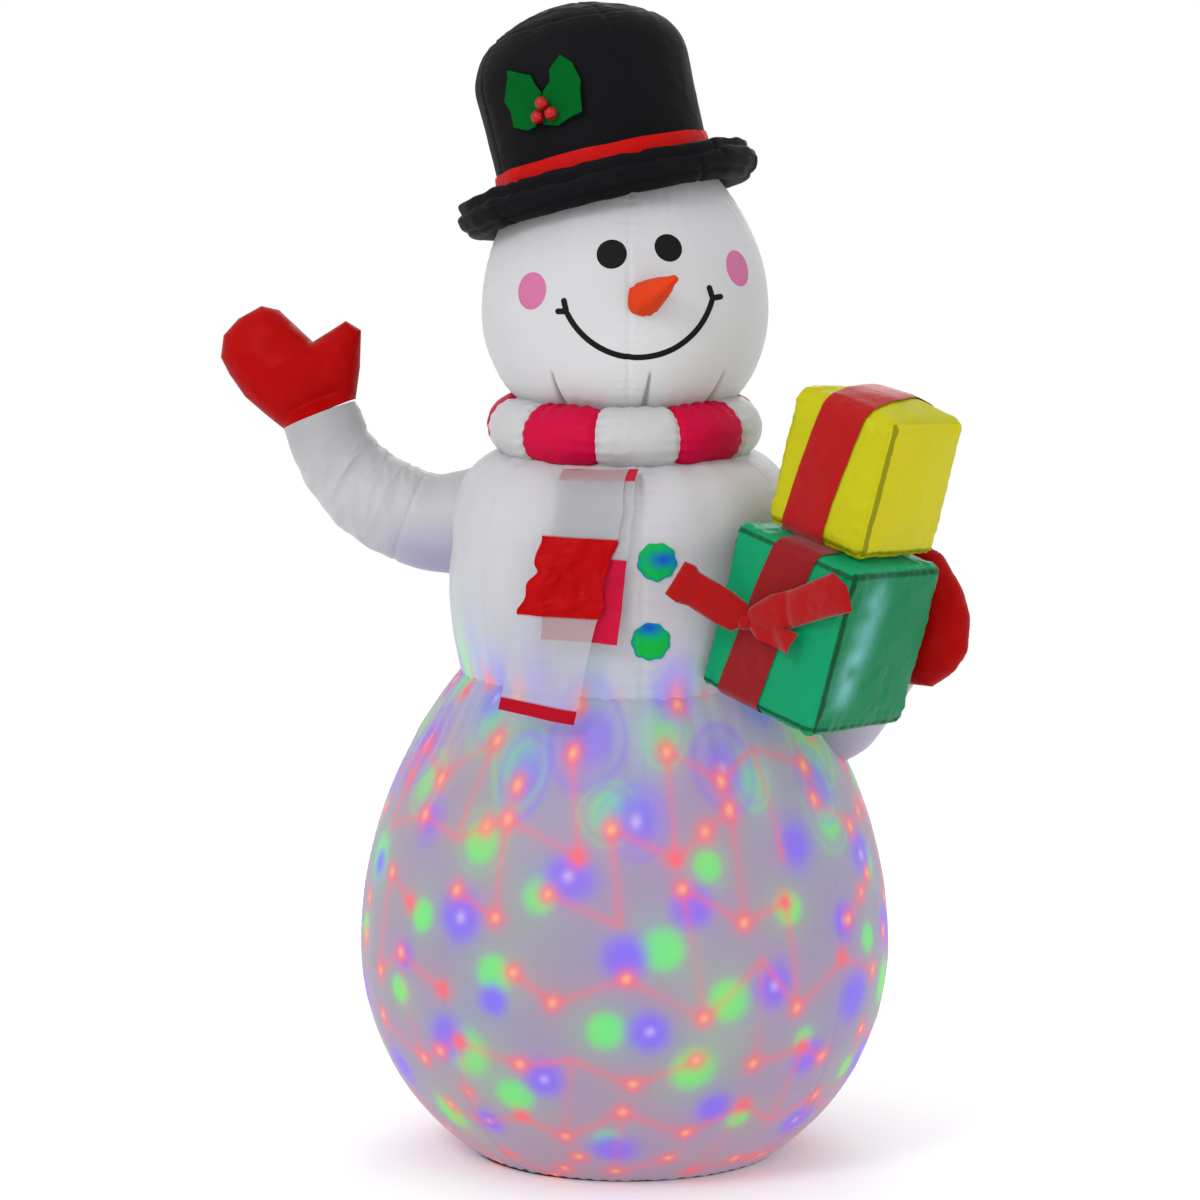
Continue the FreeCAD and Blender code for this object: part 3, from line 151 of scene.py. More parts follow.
def place(points, matrix):
    """Points moved by a 4x4 matrix."""
    m = np.array(matrix)
    return points @ m[:3, :3].T + m[:3, 3]


def grid_faces(rows, columns, closed):
    """Quads of a rows x columns grid, closed round its columns if asked."""
    i, j = np.meshgrid(np.arange(rows - 1), np.arange(columns if closed else columns - 1), indexing="ij")
    k = (j + 1) % columns
    this, below = i * columns, (i + 1) * columns
    return np.stack([this + j, this + k, below + k, below + j], -1).reshape(-1, 4)


def build(name, points, faces, materials, body="root", tags=None, paint=None, light=None):
    """A smooth mesh that rides on body. tags picks each face's material, paint and light colour points."""
    points = np.asarray(points, float).reshape(-1, 3)
    faces = np.asarray(faces)
    used = np.unique(faces)
    index = np.zeros(len(points), np.int64)
    index[used] = np.arange(len(used))
    points, faces = points[used], index[faces]
    mesh = bpy.data.meshes.new(name)
    mesh.vertices.add(len(points))
    mesh.vertices.foreach_set("co", points.astype(np.float32).ravel())
    sides = faces.shape[1]
    mesh.loops.add(faces.size)
    mesh.loops.foreach_set("vertex_index", faces.astype(np.int32).ravel())
    mesh.polygons.add(len(faces))
    mesh.polygons.foreach_set("loop_start", np.arange(0, faces.size, sides, dtype=np.int32))
    mesh.polygons.foreach_set("loop_total", np.full(len(faces), sides, np.int32))
    mesh.polygons.foreach_set("use_smooth", np.ones(len(faces), bool))
    for material in materials if isinstance(materials, (list, tuple)) else [materials]:
        mesh.materials.append(material)
    if tags is not None:
        mesh.polygons.foreach_set("material_index", np.asarray(tags, np.int32))
    for label, colours in (("paint", paint), ("light", light)):
        if colours is not None:
            values = np.ones((len(points), 4), np.float32)
            values[:, :3] = np.asarray(colours).reshape(-1, 3)[used]
            mesh.attributes.new(label, "FLOAT_COLOR", "POINT").data.foreach_set("color", values.ravel())
    mesh.update(calc_edges=True)
    mesh.validate()
    obj = bpy.data.objects.new(name, mesh)
    bpy.context.scene.collection.objects.link(obj)
    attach(obj, body)
    return obj


def declare(node):
    """Hides the CAD node that the piece stands for."""
    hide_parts(node)


def joined(parts):
    """Several (points, faces) meshes as one."""
    points, faces, start = [], [], 0
    for p, f in parts:
        p = np.asarray(p).reshape(-1, 3)
        points.append(p)
        faces.append(np.asarray(f) + start)
        start += len(p)
    return np.concatenate(points), np.concatenate(faces)


class Skin:
    """A surface of revolution about its frame's Z, with relief. turn 0 is the front and grows towards +X."""

    def __init__(self, profile, matrix, relief):
        profile = np.concatenate(profile)
        keep = np.concatenate([[True], np.linalg.norm(np.diff(profile, axis=0), axis=1) > 1e-6])
        self.profile = profile[keep]
        steps = np.linalg.norm(np.diff(self.profile, axis=0), axis=1)
        self.runs = np.concatenate([[0], np.cumsum(steps)])
        self.length = self.runs[-1]
        self.slope = np.gradient(self.profile, self.runs, axis=0)
        self.matrix, self.relief = matrix, relief

    def radius(self, run):
        return np.interp(run, self.runs, self.profile[:, 0])

    def run_at(self, height):
        return np.interp(height, self.profile[:, 1], self.runs)

    def at(self, turn, run, lift=0.0):
        """Points of the skin in the row frame."""
        turn, run = np.broadcast_arrays(np.asarray(turn, float), np.asarray(run, float))
        r, z = self.radius(run), np.interp(run, self.runs, self.profile[:, 1])
        dr, dz = (np.interp(run, self.runs, self.slope[:, k]) for k in (0, 1))
        size = np.hypot(dr, dz)
        outward, upward = dz / size, -dr / size
        base = around(r, turn, z)
        move = self.relief(turn, run, r, base) + lift
        return place(base + around(outward, turn, upward) * move[..., None], self.matrix)

    def grid(self, rows, columns, start=0.0, stop=None):
        """(turn, run, points) on an even grid, from run start to stop."""
        turn = np.linspace(0, 2 * math.pi, columns, endpoint=False)
        run = np.linspace(start, self.length if stop is None else stop, rows)
        run, turn = np.meshgrid(run, turn, indexing="ij")
        return turn, run, self.at(turn, run)

    def inside(self, points, depth):
        """Which points of the row frame lie deeper than depth under the skin's plain profile."""
        local = place(points, np.linalg.inv(np.array(self.matrix)))
        radius = np.interp(local[..., 2], self.profile[:, 1], self.profile[:, 0], left=0, right=0)
        return np.hypot(local[..., 0], local[..., 1]) < radius - depth


def centres(points, faces):
    """The middle of each face."""
    return points.reshape(-1, 3)[faces].mean(1)


def seam(distance, along, seed, depth=0.0022, wave=0.020, reach=0.030):
    """The crease of a sewn seam and the small puckers beside it."""
    stir = np.sin(along / 0.047 + seed) + np.sin(along / 0.031 + 2.3 * seed)
    ripple = np.sin(2 * math.pi * along / wave + 1.4 * stir) * np.exp(-np.abs(distance) / reach)
    return -depth * bump(distance, 0.005) + 0.35 * depth * ripple * (1 - bump(distance, 0.003))


def turned(turn, about):
    """The signed angle from about, wrapped to half a turn either way."""
    return (turn - about + math.pi) % (2 * math.pi) - math.pi


def pattern(outline, pitch):
    """A flat cut piece: points, triangles, and the height a tube of that shape would swell to."""
    outline = np.array(outline, float)
    edge = []
    for a, b in zip(outline, np.roll(outline, -1, axis=0)):
        count = max(1, round(np.linalg.norm(b - a) / pitch))
        edge += [a + (b - a) * k / count for k in range(count)]
    edge = np.array(edge)
    low, high = edge.min(0), edge.max(0)
    rows = int((high[1] - low[1]) / (pitch * 0.866)) + 1
    cells = [
        (x + (0.5 * pitch if r % 2 else 0), low[1] + r * pitch * 0.866)
        for r in range(rows)
        for x in np.arange(low[0], high[0], pitch)
    ]
    cells = np.array(cells)
    a, b = edge, np.roll(edge, -1, axis=0)
    crosses = (a[:, 1] > cells[:, None, 1]) != (b[:, 1] > cells[:, None, 1])
    rise = np.where(np.abs(b[:, 1] - a[:, 1]) < 1e-12, 1e-12, b[:, 1] - a[:, 1])
    where = a[:, 0] + (cells[:, None, 1] - a[:, 1]) * (b[:, 0] - a[:, 0]) / rise
    odd = (crosses & (cells[:, None, 0] < where)).sum(1) % 2 == 1
    near = np.linalg.norm(cells[:, None] - edge[None], axis=2).min(1)
    inner = cells[odd & (near > 0.62 * pitch)]
    points = np.concatenate([edge, inner])
    ring = [(k, (k + 1) % len(edge)) for k in range(len(edge))]
    made = delaunay_2d_cdt([Vector(p) for p in points], ring, [], 1, 1e-7)
    points = np.array([tuple(p) for p in made[0]])
    faces = np.array([f for f in made[2] if len(f) == 3])
    rim = np.array([any(k < len(edge) for k in origin) for origin in made[3]])
    links = np.concatenate([faces[:, [0, 1]], faces[:, [1, 2]], faces[:, [2, 0]]])
    links = np.unique(np.sort(links, axis=1), axis=0)
    one, two = np.concatenate([links[:, 0], links[:, 1]]), np.concatenate([links[:, 1], links[:, 0]])
    degree = np.bincount(one, minlength=len(points))
    free = ~rim

    def spread(x):
        return np.where(free, degree * x - np.bincount(one, weights=x[two], minlength=len(points)), 0)

    x = np.zeros(len(points))
    rest = free.astype(float)
    way, size = rest.copy(), rest @ rest
    for _ in range(400):
        pushed = spread(way)
        step = size / max(way @ pushed, 1e-30)
        x += step * way
        rest = rest - step * pushed
        fresh = rest @ rest
        if fresh < 1e-10:
            break
        way, size = rest + way * fresh / size, fresh
    return points, faces, np.sqrt(np.maximum(3 * pitch**2 * x, 0)), rim


def inflated(outline, pitch, fullness, shape):
    """Both faces of a cut piece blown up and sewn at its edge. shape makes points of (x, y, height, side)."""
    flat, faces, height, rim = pattern(outline, pitch)
    front = shape(flat[:, 0], flat[:, 1], height * fullness, 1)
    back = shape(flat[:, 0], flat[:, 1], height * fullness, -1)
    index = np.where(rim, np.arange(len(flat)), np.arange(len(flat)) + len(flat))
    points = np.concatenate([front, np.where(rim[:, None], front, back)])
    return points, np.concatenate([faces, index[faces][:, ::-1]])


def swept(stations, rows, columns):
    """A tube through stations (x, y, z, radius): (along, turn, points, radial directions, radii)."""
    stations = np.array(stations, float)
    steps = np.linalg.norm(np.diff(stations[:, :3], axis=0), axis=1)
    knots = np.concatenate([[0], np.cumsum(steps)])
    slopes = np.gradient(stations, knots, axis=0)
    along = np.linspace(0, knots[-1], rows)
    k = np.clip(np.searchsorted(knots, along) - 1, 0, len(knots) - 2)
    span = (knots[k + 1] - knots[k])[:, None]
    t = (along - knots[k])[:, None] / span
    line = (
        (2 * t**3 - 3 * t**2 + 1) * stations[k]
        + (t**3 - 2 * t**2 + t) * span * slopes[k]
        + (-2 * t**3 + 3 * t**2) * stations[k + 1]
        + (t**3 - t**2) * span * slopes[k + 1]
    )
    centre, radius = line[:, :3], line[:, 3]
    tangent = np.gradient(centre, along, axis=0)
    tangent /= np.linalg.norm(tangent, axis=1)[:, None]
    side = np.cross(tangent[0], (0, 1, 0))
    sides = []
    for way in tangent:
        side = side - way * (side @ way)
        side = side / np.linalg.norm(side)
        sides.append(side)
    sides = np.array(sides)
    ups = np.cross(tangent, sides)
    turn = np.linspace(0, 2 * math.pi, columns, endpoint=False)
    spoke = sides[:, None] * np.cos(turn)[None, :, None] + ups[:, None] * np.sin(turn)[None, :, None]
    points = centre[:, None] + spoke * radius[:, None, None]
    along, turn = np.meshgrid(along, turn, indexing="ij")
    return along, turn, points, spoke, radius[:, None]


# ---------------------------------------------------------------- materials


def fabric(
    name, colour, rough=0.5, sheen=0.0, crinkle=0.6, size=0.05, weave=0.35, glow=False, veil=0.0, gloss=0.06
):
    """Coated woven cloth: its colour or the piece's own paint, a weave, crinkles and light from inside."""
    material = bpy.data.materials.new(name)
    material.use_nodes = True
    nodes, links = material.node_tree.nodes, material.node_tree.links
    shader = nodes["Principled BSDF"]
    shader.inputs["Roughness"].default_value = rough
    shader.inputs["Sheen Weight"].default_value = sheen
    shader.inputs["Sheen Roughness"].default_value = 0.5
    shader.inputs["Specular IOR Level"].default_value = gloss
    place_of = nodes.new("ShaderNodeTexCoord")

    def grain(scale, detail, distortion=0.0):
        node = nodes.new("ShaderNodeTexNoise")
        node.inputs["Scale"].default_value = scale
        node.inputs["Detail"].default_value = detail
        node.inputs["Distortion"].default_value = distortion
        links.new(place_of.outputs["Object"], node.inputs["Vector"])
        return node.outputs["Fac"]

    tint = nodes.new("ShaderNodeMix")
    tint.data_type, tint.blend_type = "RGBA", "MULTIPLY"
    tint.inputs["Factor"].default_value = 1.0
    ramp = nodes.new("ShaderNodeValToRGB")
    ramp.color_ramp.elements[0].color = (0.76, 0.76, 0.76, 1)
    ramp.color_ramp.elements[1].color = (0.90, 0.90, 0.90, 1)
    links.new(grain(0.35 / size, 4), ramp.inputs["Fac"])
    links.new(ramp.outputs["Color"], tint.inputs["B"])
    if colour is None:
        own = nodes.new("ShaderNodeAttribute")
        own.attribute_name = "paint"
        links.new(own.outputs["Color"], tint.inputs["A"])
    else:
        tint.inputs["A"].default_value = (*colour, 1)
    links.new(tint.outputs["Result"], shader.inputs["Base Color"])

    fine = nodes.new("ShaderNodeBump")
    fine.inputs["Strength"].default_value = weave
    fine.inputs["Distance"].default_value = 0.0004
    links.new(grain(900, 2), fine.inputs["Height"])
    folds = nodes.new("ShaderNodeBump")
    folds.inputs["Strength"].default_value = crinkle
    folds.inputs["Distance"].default_value = 0.004
    links.new(grain(1 / size, 5, 0.8), folds.inputs["Height"])
    links.new(fine.outputs["Normal"], folds.inputs["Normal"])
    links.new(folds.outputs["Normal"], shader.inputs["Normal"])
    if glow:
        lit = nodes.new("ShaderNodeAttribute")
        lit.attribute_name = "light"
        links.new(lit.outputs["Color"], shader.inputs["Emission Color"])
        shader.inputs["Emission Strength"].default_value = 1.0
    if veil:
        shader.inputs["Alpha"].default_value = 1 - veil
    return material


def hard(name, colour, rough=0.4, metal=0.0, grain=60.0, depth=0.15, clear=0.0, shine=0.0):
    """Moulded plastic, metal, rubber or glass with a faint grain."""
    material = bpy.data.materials.new(name)
    material.use_nodes = True
    nodes, links = material.node_tree.nodes, material.node_tree.links
    shader = nodes["Principled BSDF"]
    shader.inputs["Metallic"].default_value = metal
    shader.inputs["Transmission Weight"].default_value = clear
    shader.inputs["Base Color"].default_value = (*colour, 1)
    if shine:
        shader.inputs["Emission Color"].default_value = (*colour, 1)
        shader.inputs["Emission Strength"].default_value = shine
    place_of = nodes.new("ShaderNodeTexCoord")
    speck = nodes.new("ShaderNodeTexNoise")
    speck.inputs["Scale"].default_value = grain
    speck.inputs["Detail"].default_value = 4
    links.new(place_of.outputs["Object"], speck.inputs["Vector"])
    wear = nodes.new("ShaderNodeMapRange")
    wear.inputs["To Min"].default_value = max(rough - 0.08, 0.02)
    wear.inputs["To Max"].default_value = rough + 0.08
    links.new(speck.outputs["Fac"], wear.inputs["Value"])
    links.new(wear.outputs["Result"], shader.inputs["Roughness"])
    skin = nodes.new("ShaderNodeBump")
    skin.inputs["Strength"].default_value = depth
    skin.inputs["Distance"].default_value = 0.0004
    links.new(speck.outputs["Fac"], skin.inputs["Height"])
    links.new(skin.outputs["Normal"], shader.inputs["Normal"])
    return material


WHITE = rgb(192, 192, 195)
white_cloth = fabric("white_cloth", None, sheen=0.15, crinkle=0.35, size=0.06, glow=True, gloss=0.25)
veil_cloth = fabric("veil_cloth", None, sheen=0.05, crinkle=0.4, glow=True, veil=0.45, gloss=0.25)
belly_cloth = fabric(
    "belly_cloth", None, rough=0.55, sheen=0.1, crinkle=0.25, size=0.07, glow=True, gloss=0.25
)
scarf_red = fabric("scarf_red", rgb(192, 6, 58), size=0.045)
mitten_red = fabric("mitten_red", rgb(166, 0, 0), crinkle=0.5, size=0.06)
black_cloth = fabric("black_cloth", rgb(14, 14, 17), rough=0.6, weave=0.5)
black_print = fabric("black_print", rgb(22, 21, 22), rough=0.6, crinkle=0.2, gloss=0.08)
pink_print = fabric("pink_print", rgb(196, 106, 150), rough=0.6, crinkle=0.2, gloss=0.25)
nose_cloth = fabric("nose_cloth", rgb(212, 60, 14), size=0.03, gloss=0.08)
leaf_felt = fabric("leaf_felt", rgb(0, 90, 32), rough=0.9, crinkle=0.9, size=0.02, weave=0.9, gloss=0.05)
berry_plastic = fabric(
    "berry_plastic", rgb(168, 6, 4), rough=0.32, crinkle=0.15, size=0.02, weave=0.1, gloss=0.3
)
green_cloth = fabric("green_cloth", None, rough=0.38, crinkle=0.7, size=0.035, glow=True, gloss=0.12)
yellow_cloth = fabric("yellow_cloth", None, rough=0.42, size=0.04, glow=True, gloss=0.12)
print_cloth = fabric("print_cloth", None, crinkle=0.5, size=0.04, glow=True)
band_cloth = fabric("band_red", rgb(200, 10, 6), rough=0.55, gloss=0.08)
ribbon_bright = fabric("ribbon_bright", rgb(168, 3, 3), rough=0.45, sheen=0.2, size=0.04)
ribbon_dark = fabric("ribbon_dark", rgb(138, 6, 14), rough=0.45, sheen=0.2, size=0.04)
bow_cloth = fabric("bow_cloth", rgb(162, 2, 4), rough=0.48, sheen=0.2, crinkle=0.7, size=0.035)


# ---------------------------------------------------------------- coloured light on the cloth

rng = np.random.default_rng(31)
BELLY_R = 0.558
belly_profile = [arc((0.320, 0.002), (BELLY_R, 0.441), 0.528), arc((BELLY_R, 0.441), (0.231, 1.120), 0.869)]


def belly_relief(turn, run, r, base):
    """Eight gore seams, soft dents, and gathers at the floor panel and under the torso."""
    out = 0.003 * noise(base, 0.28, 3) + 0.0007 * creases(base, 0.10, 5)
    for k in range(8):
        gap = r * turned(turn, FRONT_TURN + k * math.pi / 4)
        out = out + seam(gap, run, k + 1, depth=0.0018)
    out = out + 0.0010 * np.sin(64 * turn + 4 * noise(base, 0.1, 8)) * np.exp(-run / 0.035)
    top = np.exp(-np.maximum(0.985 - run, 0) / 0.05)
    return out + 0.0016 * top * np.sin(58 * turn + 5 * noise(base, 0.12, 9))


belly = Skin(belly_profile, WORLD, belly_relief)

HIVE_COLUMNS, HIVE_ROWS, HIVE_STEP = 28, 9, 0.150


def hive_points():
    """Jittered corners of a honeycomb wrapped round the belly, where the red spots fall."""
    turns, runs = [], []
    for row in range(HIVE_ROWS):
        for column in range(HIVE_COLUMNS):
            lift = 0.032 if (row + column) % 2 else -0.032
            runs.append(0.06 + row * HIVE_STEP + lift + rng.uniform(-0.026, 0.026))
            turns.append((column + rng.uniform(-0.27, 0.27)) * 2 * math.pi / HIVE_COLUMNS)
    return belly.at(np.array(turns), np.array(runs)).reshape(HIVE_ROWS, HIVE_COLUMNS, 3)


hive = hive_points()
hive_edges = []
for row in range(HIVE_ROWS):
    for column in range(HIVE_COLUMNS):
        if rng.random() < 0.66:
            hive_edges.append((hive[row, column], hive[row, (column + 1) % HIVE_COLUMNS]))
        if (row + column) % 2 == 0 and row + 1 < HIVE_ROWS and rng.random() < 0.72:
            hive_edges.append((hive[row, column], hive[row + 1, column]))
hive_edges = [e for e in hive_edges if max(e[0][2], e[1][2]) < 0.90]
red_spots = [p for p in hive.reshape(-1, 3) if rng.random() < 0.85 and p[2] < 1.02]
red_spots += [a + (b - a) * rng.uniform(0.4, 0.6) for a, b in hive_edges if rng.random() < 0.16]


def scattered(count, low, high, step):
    """Seeded spots from low to high over the belly and torso, each step of a turn on from the last."""
    order = np.arange(count)
    turn = 2 * math.pi * (order * step % 1) + rng.uniform(-0.10, 0.10, count)
    height = low + (high - low) * (order + rng.uniform(-0.6, 1.6, count)) / count
    radius = np.where(height < 1.0, belly.radius(belly.run_at(height)), 0.36)
    return around(radius, turn, height)


green_spots = scattered(84, 0.10, 1.10, 0.618034)
violet_spots = scattered(88, 0.08, 1.16, 0.381966)
green_sizes = rng.uniform(0.020, 0.036, len(green_spots))
violet_sizes = rng.uniform(0.020, 0.036, len(violet_spots))
wash_spots = scattered(60, 0.80, 1.32, 0.618034)

SPOT_RED, SPOT_CORE = rgb(252, 106, 120), rgb(255, 196, 150)
SPOT_GREEN, SPOT_VIOLET, SPOT_PALE = rgb(108, 240, 112), rgb(130, 108, 250), rgb(214, 196, 252)
BELLY_BASE, BELLY_PINK = rgb(160, 152, 174), rgb(172, 150, 172)
WASH = [rgb(150, 140, 255), rgb(150, 235, 235), rgb(150, 240, 165), rgb(255, 150, 165)]


def stretched(points, spot):
    """Distance from a spot, shorter upright where the light grazes the skin higher up."""
    tall = 1 + 1.1 * smooth(0.62, 0.95, spot[2]) + 1.2 * smooth(0.95, 1.2, spot[2])
    d = points - spot
    return np.sqrt(d[:, 0] ** 2 + d[:, 1] ** 2 + (d[:, 2] / tall) ** 2)


def mixed(colours, shade, amount):
    """colours moved towards shade by amount, in place."""
    colours += (shade - colours) * amount[:, None]


def painted_projector_light(points, base):
    """The projector's coloured light painted over base colours: its spots, rings and web of lines, all per
    point.
    """
    points = points.reshape(-1, 3)
    colours = np.array(base, float).reshape(-1, 3).copy()
    for n, spot in enumerate(wash_spots):
        near = np.linalg.norm(points - spot, axis=1) < 0.5
        d = stretched(points[near], spot)
        part = colours[near]
        mixed(part, WASH[n % 4], 0.30 * np.exp(-((d / 0.055) ** 2)))
        colours[near] = part
    for spots, sizes, shade, edge in (
        (green_spots, green_sizes, SPOT_GREEN, 0.75),
        (violet_spots, violet_sizes, SPOT_VIOLET, 1.0),
    ):
        for n, (spot, size) in enumerate(zip(spots, sizes)):
            near = np.linalg.norm(points - spot, axis=1) < 0.32
            q = points[near]
            d = stretched(q, spot) * (1 + 0.22 * noise(q, 0.09, n + 11)) / size
            high = smooth(0.60, 0.85, spot[2])
            part = colours[near]
            mixed(part, shade, (1 - smooth(1 - edge / 2, 1 + edge, d)) * (0.92 - 0.30 * high))
            mixed(part, shade, 0.34 * high * (1 - smooth(0.90, 1.0, spot[2])) * bump(d - 1.9, 0.22))
            mixed(part, shade, 0.24 * np.exp(-((d / 2.2) ** 2)))
            if shade is SPOT_VIOLET and n % 2:
                mixed(part, SPOT_PALE, 0.7 * bump(d, 0.30))
            colours[near] = part
    web = np.zeros(len(points))
    for a, b in hive_edges:
        near = np.linalg.norm(points - (a + b) / 2, axis=1) < 0.20
        q = points[near]
        t = np.clip((q - a) @ (b - a) / ((b - a) @ (b - a)), 0, 1)
        d = np.linalg.norm(q - a - t[:, None] * (b - a), axis=1)
        web[near] = np.maximum(web[near], 0.34 * np.exp(-((d / 0.0075) ** 2)) + 0.22 * np.exp(-d / 0.018))
    mixed(colours, SPOT_RED, web)
    for n, spot in enumerate(red_spots):
        near = np.linalg.norm(points - spot, axis=1) < 0.15
        d = stretched(points[near], spot)
        part = colours[near]
        mixed(part, SPOT_RED, 0.95 * np.exp(-((d / 0.019) ** 2)) + 0.05 * np.exp(-d / 0.04))
        if n % 5 != 2:
            mixed(part, SPOT_CORE, 0.8 * np.exp(-((d / 0.0085) ** 2)))
        colours[near] = part
    return colours


# ---------------------------------------------------------------- belly and torso

BELLY_SELF = 0.50  # share of the belly's colour that comes from the lamps inside it


def torso_relief(turn, run, r, base):
    """Six seams, the neck's gathers, the waist's puckers and long upright folds."""
    out = 0.004 * noise(base, 0.22, 13) + 0.0009 * creases(base, 0.12, 15)
    for k, about in enumerate((FRONT_TURN, *np.radians((62, -50, 180, 118, -118)))):
        out = out + seam(r * turned(turn, about), run, k + 2, depth=0.0020 if k else 0.0035, wave=0.026)
    neck = np.exp(-np.maximum(0.655 - run, 0) / 0.06)
    out = out + 0.0045 * neck * np.sin(24 * turn + 3.2 * noise(base, 0.11, 17)) - 0.004 * neck
    waist = np.exp(-np.abs(run - 0.06) / 0.045)
    out = out + 0.0016 * waist * np.sin(58 * turn + 5 * noise(base, 0.1, 19))
    lines = np.sin(19 * turn + 5 * noise(base, (0.16, 0.16, 0.5), 20))
    return out + 0.0012 * lines * smooth(0.05, 0.3, run)


torso = Skin(
    [
        arc((0.318, -0.060), (0.364, 0.190), 0.700),
        np.array([(0.364, z) for z in np.linspace(0.19, 0.31, 20)]),
        arc((0.364, 0.310), (0.290, 0.448), 0.155),
        arc((0.290, 0.448), (0.155, 0.498), 0.400, 30),
    ],
    TORSO,
    torso_relief,
)


def body_light_and_shade(points):
    """White cloth with painted light and shade: greyer away from the waist and pinker towards the ground."""
    z = points.reshape(-1, 3)[:, 2]
    low = smooth(0.35, 0.0, z)[:, None]
    waist = 0.7 * smooth(0.78, 0.99, z)[:, None]
    return blend(blend(BELLY_BASE, BELLY_PINK, low), rgb(186, 180, 190), waist)


turn, run, points = belly.grid(186, 530, stop=float(belly.run_at(1.070)))
faces = grid_faces(*turn.shape, True)
faces = faces[~torso.inside(centres(points, faces), 0.006)]
# Painted light: the belly's colour and glow carry the lamps' light and the projector's spots.
colours = painted_projector_light(points, body_light_and_shade(points))
glare = 1 - 0.10 * smooth(0.7, 1.0, points.reshape(-1, 3)[:, 2])
light = colours * BELLY_SELF * glare[:, None]
belly_piece = build("belly_skin", points, faces, belly_cloth, paint=colours * 0.45, light=light)
declare("lower_body")


def torso_colours(points):
    """The torso's white, with the projector's light climbing its lower half."""
    flat = points.reshape(-1, 3)
    white = np.tile(rgb(190, 189, 194), (len(flat), 1))
    lit = painted_projector_light(flat, np.tile(rgb(176, 170, 180), (len(flat), 1)))
    share = (0.66 * smooth(1.16, 0.99, flat[:, 2]) + 0.24 * smooth(1.34, 1.10, flat[:, 2]))[:, None]
    return blend(white, lit, share), lit * share * 0.12


turn, run, points = torso.grid(150, 430)
faces = grid_faces(*turn.shape, True)
faces = faces[~belly.inside(centres(points, faces), 0.012)]
colours, light = torso_colours(points)
torso_piece = build("torso_skin", points, faces, white_cloth, paint=colours, light=light + 0.02)
declare("upper_body")


# ---------------------------------------------------------------- head and face

DARTS = (math.radians(11), math.radians(-37), math.radians(52), math.radians(101), math.radians(149))
DARTS += (math.radians(-85), math.radians(-133))


def dart_gap(turn, run, r):
    """Distance from the nearest chin dart, as a share of its width, and how far it has opened."""
    best = np.full(np.shape(turn), 9.0)
    for n, about in enumerate(DARTS):
        lean = 0.17 * (run - 0.06) * np.sign(math.sin(about)) if n else 0.0
        width = 0.0014 + 0.075 * np.maximum(0.150 - run, 0) * (1 if n < 3 else 0.6)
        best = np.minimum(best, np.abs(r * turned(turn, about) + lean) / width)
    return best, smooth(0.160, 0.135, run)


def head_relief(turn, run, r, base):
    """Four seams, the chin's darts, and gathers at the chin and under the hat."""
    out = 0.004 * noise(base, 0.25, 23) + 0.0006 * creases(base, 0.13, 25)
    out = out + seam(r * turned(turn, math.radians(1.6)), run, 3, depth=0.0022, reach=0.02)
    for k in (1, 2, 3):
        out = out + seam(r * turned(turn, math.radians(1.6) + k * math.pi / 2), run, 4 + k, depth=0.0016)
    gap, opened = dart_gap(turn, run, r)
    out = out - 0.010 * opened * np.exp(-(gap**2))
    chin = np.exp(-run / 0.055)
    out = out + 0.0010 * chin * np.sin(47 * turn + 6 * noise(base, 0.07, 27))
    out = out + 0.0016 * chin * creases(base, 0.045, 29)
    crown = np.exp(-np.maximum(0.52 - run, 0) / 0.05)
    return out + 0.0010 * crown * np.sin(41 * turn + 6 * noise(base, 0.09, 28))


head = Skin(
    [
        arc((0.150, 1.538), (0.270, 1.645), 0.190),
        arc((0.270, 1.645), (0.297, 1.762), 0.267),
        arc((0.297, 1.762), (0.160, 2.064), 0.404),
    ],
    HEAD,
    head_relief,
)
turn, run, points = head.grid(150, 540)
faces = grid_faces(*turn.shape, True)
under_hat = place(centres(points, faces), np.linalg.inv(np.array(HAT)))[:, 2] < 0.012
faces = faces[under_hat]
gap, opened = dart_gap(turn, run, head.radius(run))
# Painted shade: the open chin darts are greyed along their middle.
shade = (opened * np.exp(-((gap / 0.8) ** 4)))[..., None]
colours = blend(WHITE, rgb(118, 118, 120), shade).reshape(-1, 3)
flat = points.reshape(-1, 3)
chin_light = np.exp(-(((flat[:, 0] + 0.01) / 0.20) ** 2) - ((flat[:, 2] - 1.63) / 0.13) ** 2)
light = np.outer(0.02 + 0.11 * chin_light * (flat[:, 1] < -0.1), (1, 1, 1))
head_piece = build("head_skin", points, faces, white_cloth, paint=colours, light=light)
declare("head")


def on_head(x, z, lift=0.0012):
    """The point of the head's front at that x and z, raised by lift."""
    run = head.run_at(z)
    return head.at(np.arcsin(np.clip(x / head.radius(run), -1, 1)), run, lift)


def printed_disc(x, z, radius):
    """A round patch that follows the head."""
    rings, spokes = 14, 72
    run0 = float(head.run_at(z))
    turn0 = math.asin(x / float(head.radius(run0)))
    size, t = polar(np.linspace(0.001, 1, rings), spokes)
    run = run0 + radius * size * np.sin(t)
    lift = 0.0012 - 0.0010 * smooth(0.93, 1.0, size)
    turn = turn0 + radius * size * np.cos(t) / head.radius(run)
    return head.at(turn, run, lift), grid_faces(rings, spokes, True)


for name, discs, material, slot_name in (
    ("eyes", [(-0.026, 1.858, 0.0295), (0.085, 1.872, 0.0285)], black_print, "black_print"),
    ("cheeks", [(-0.185, 1.790, 0.037), (0.227, 1.838, 0.037)], pink_print, "pink_print"),
):
    piece = build(name + "_print", *joined([printed_disc(*disc) for disc in discs]), material)
    declare(name)


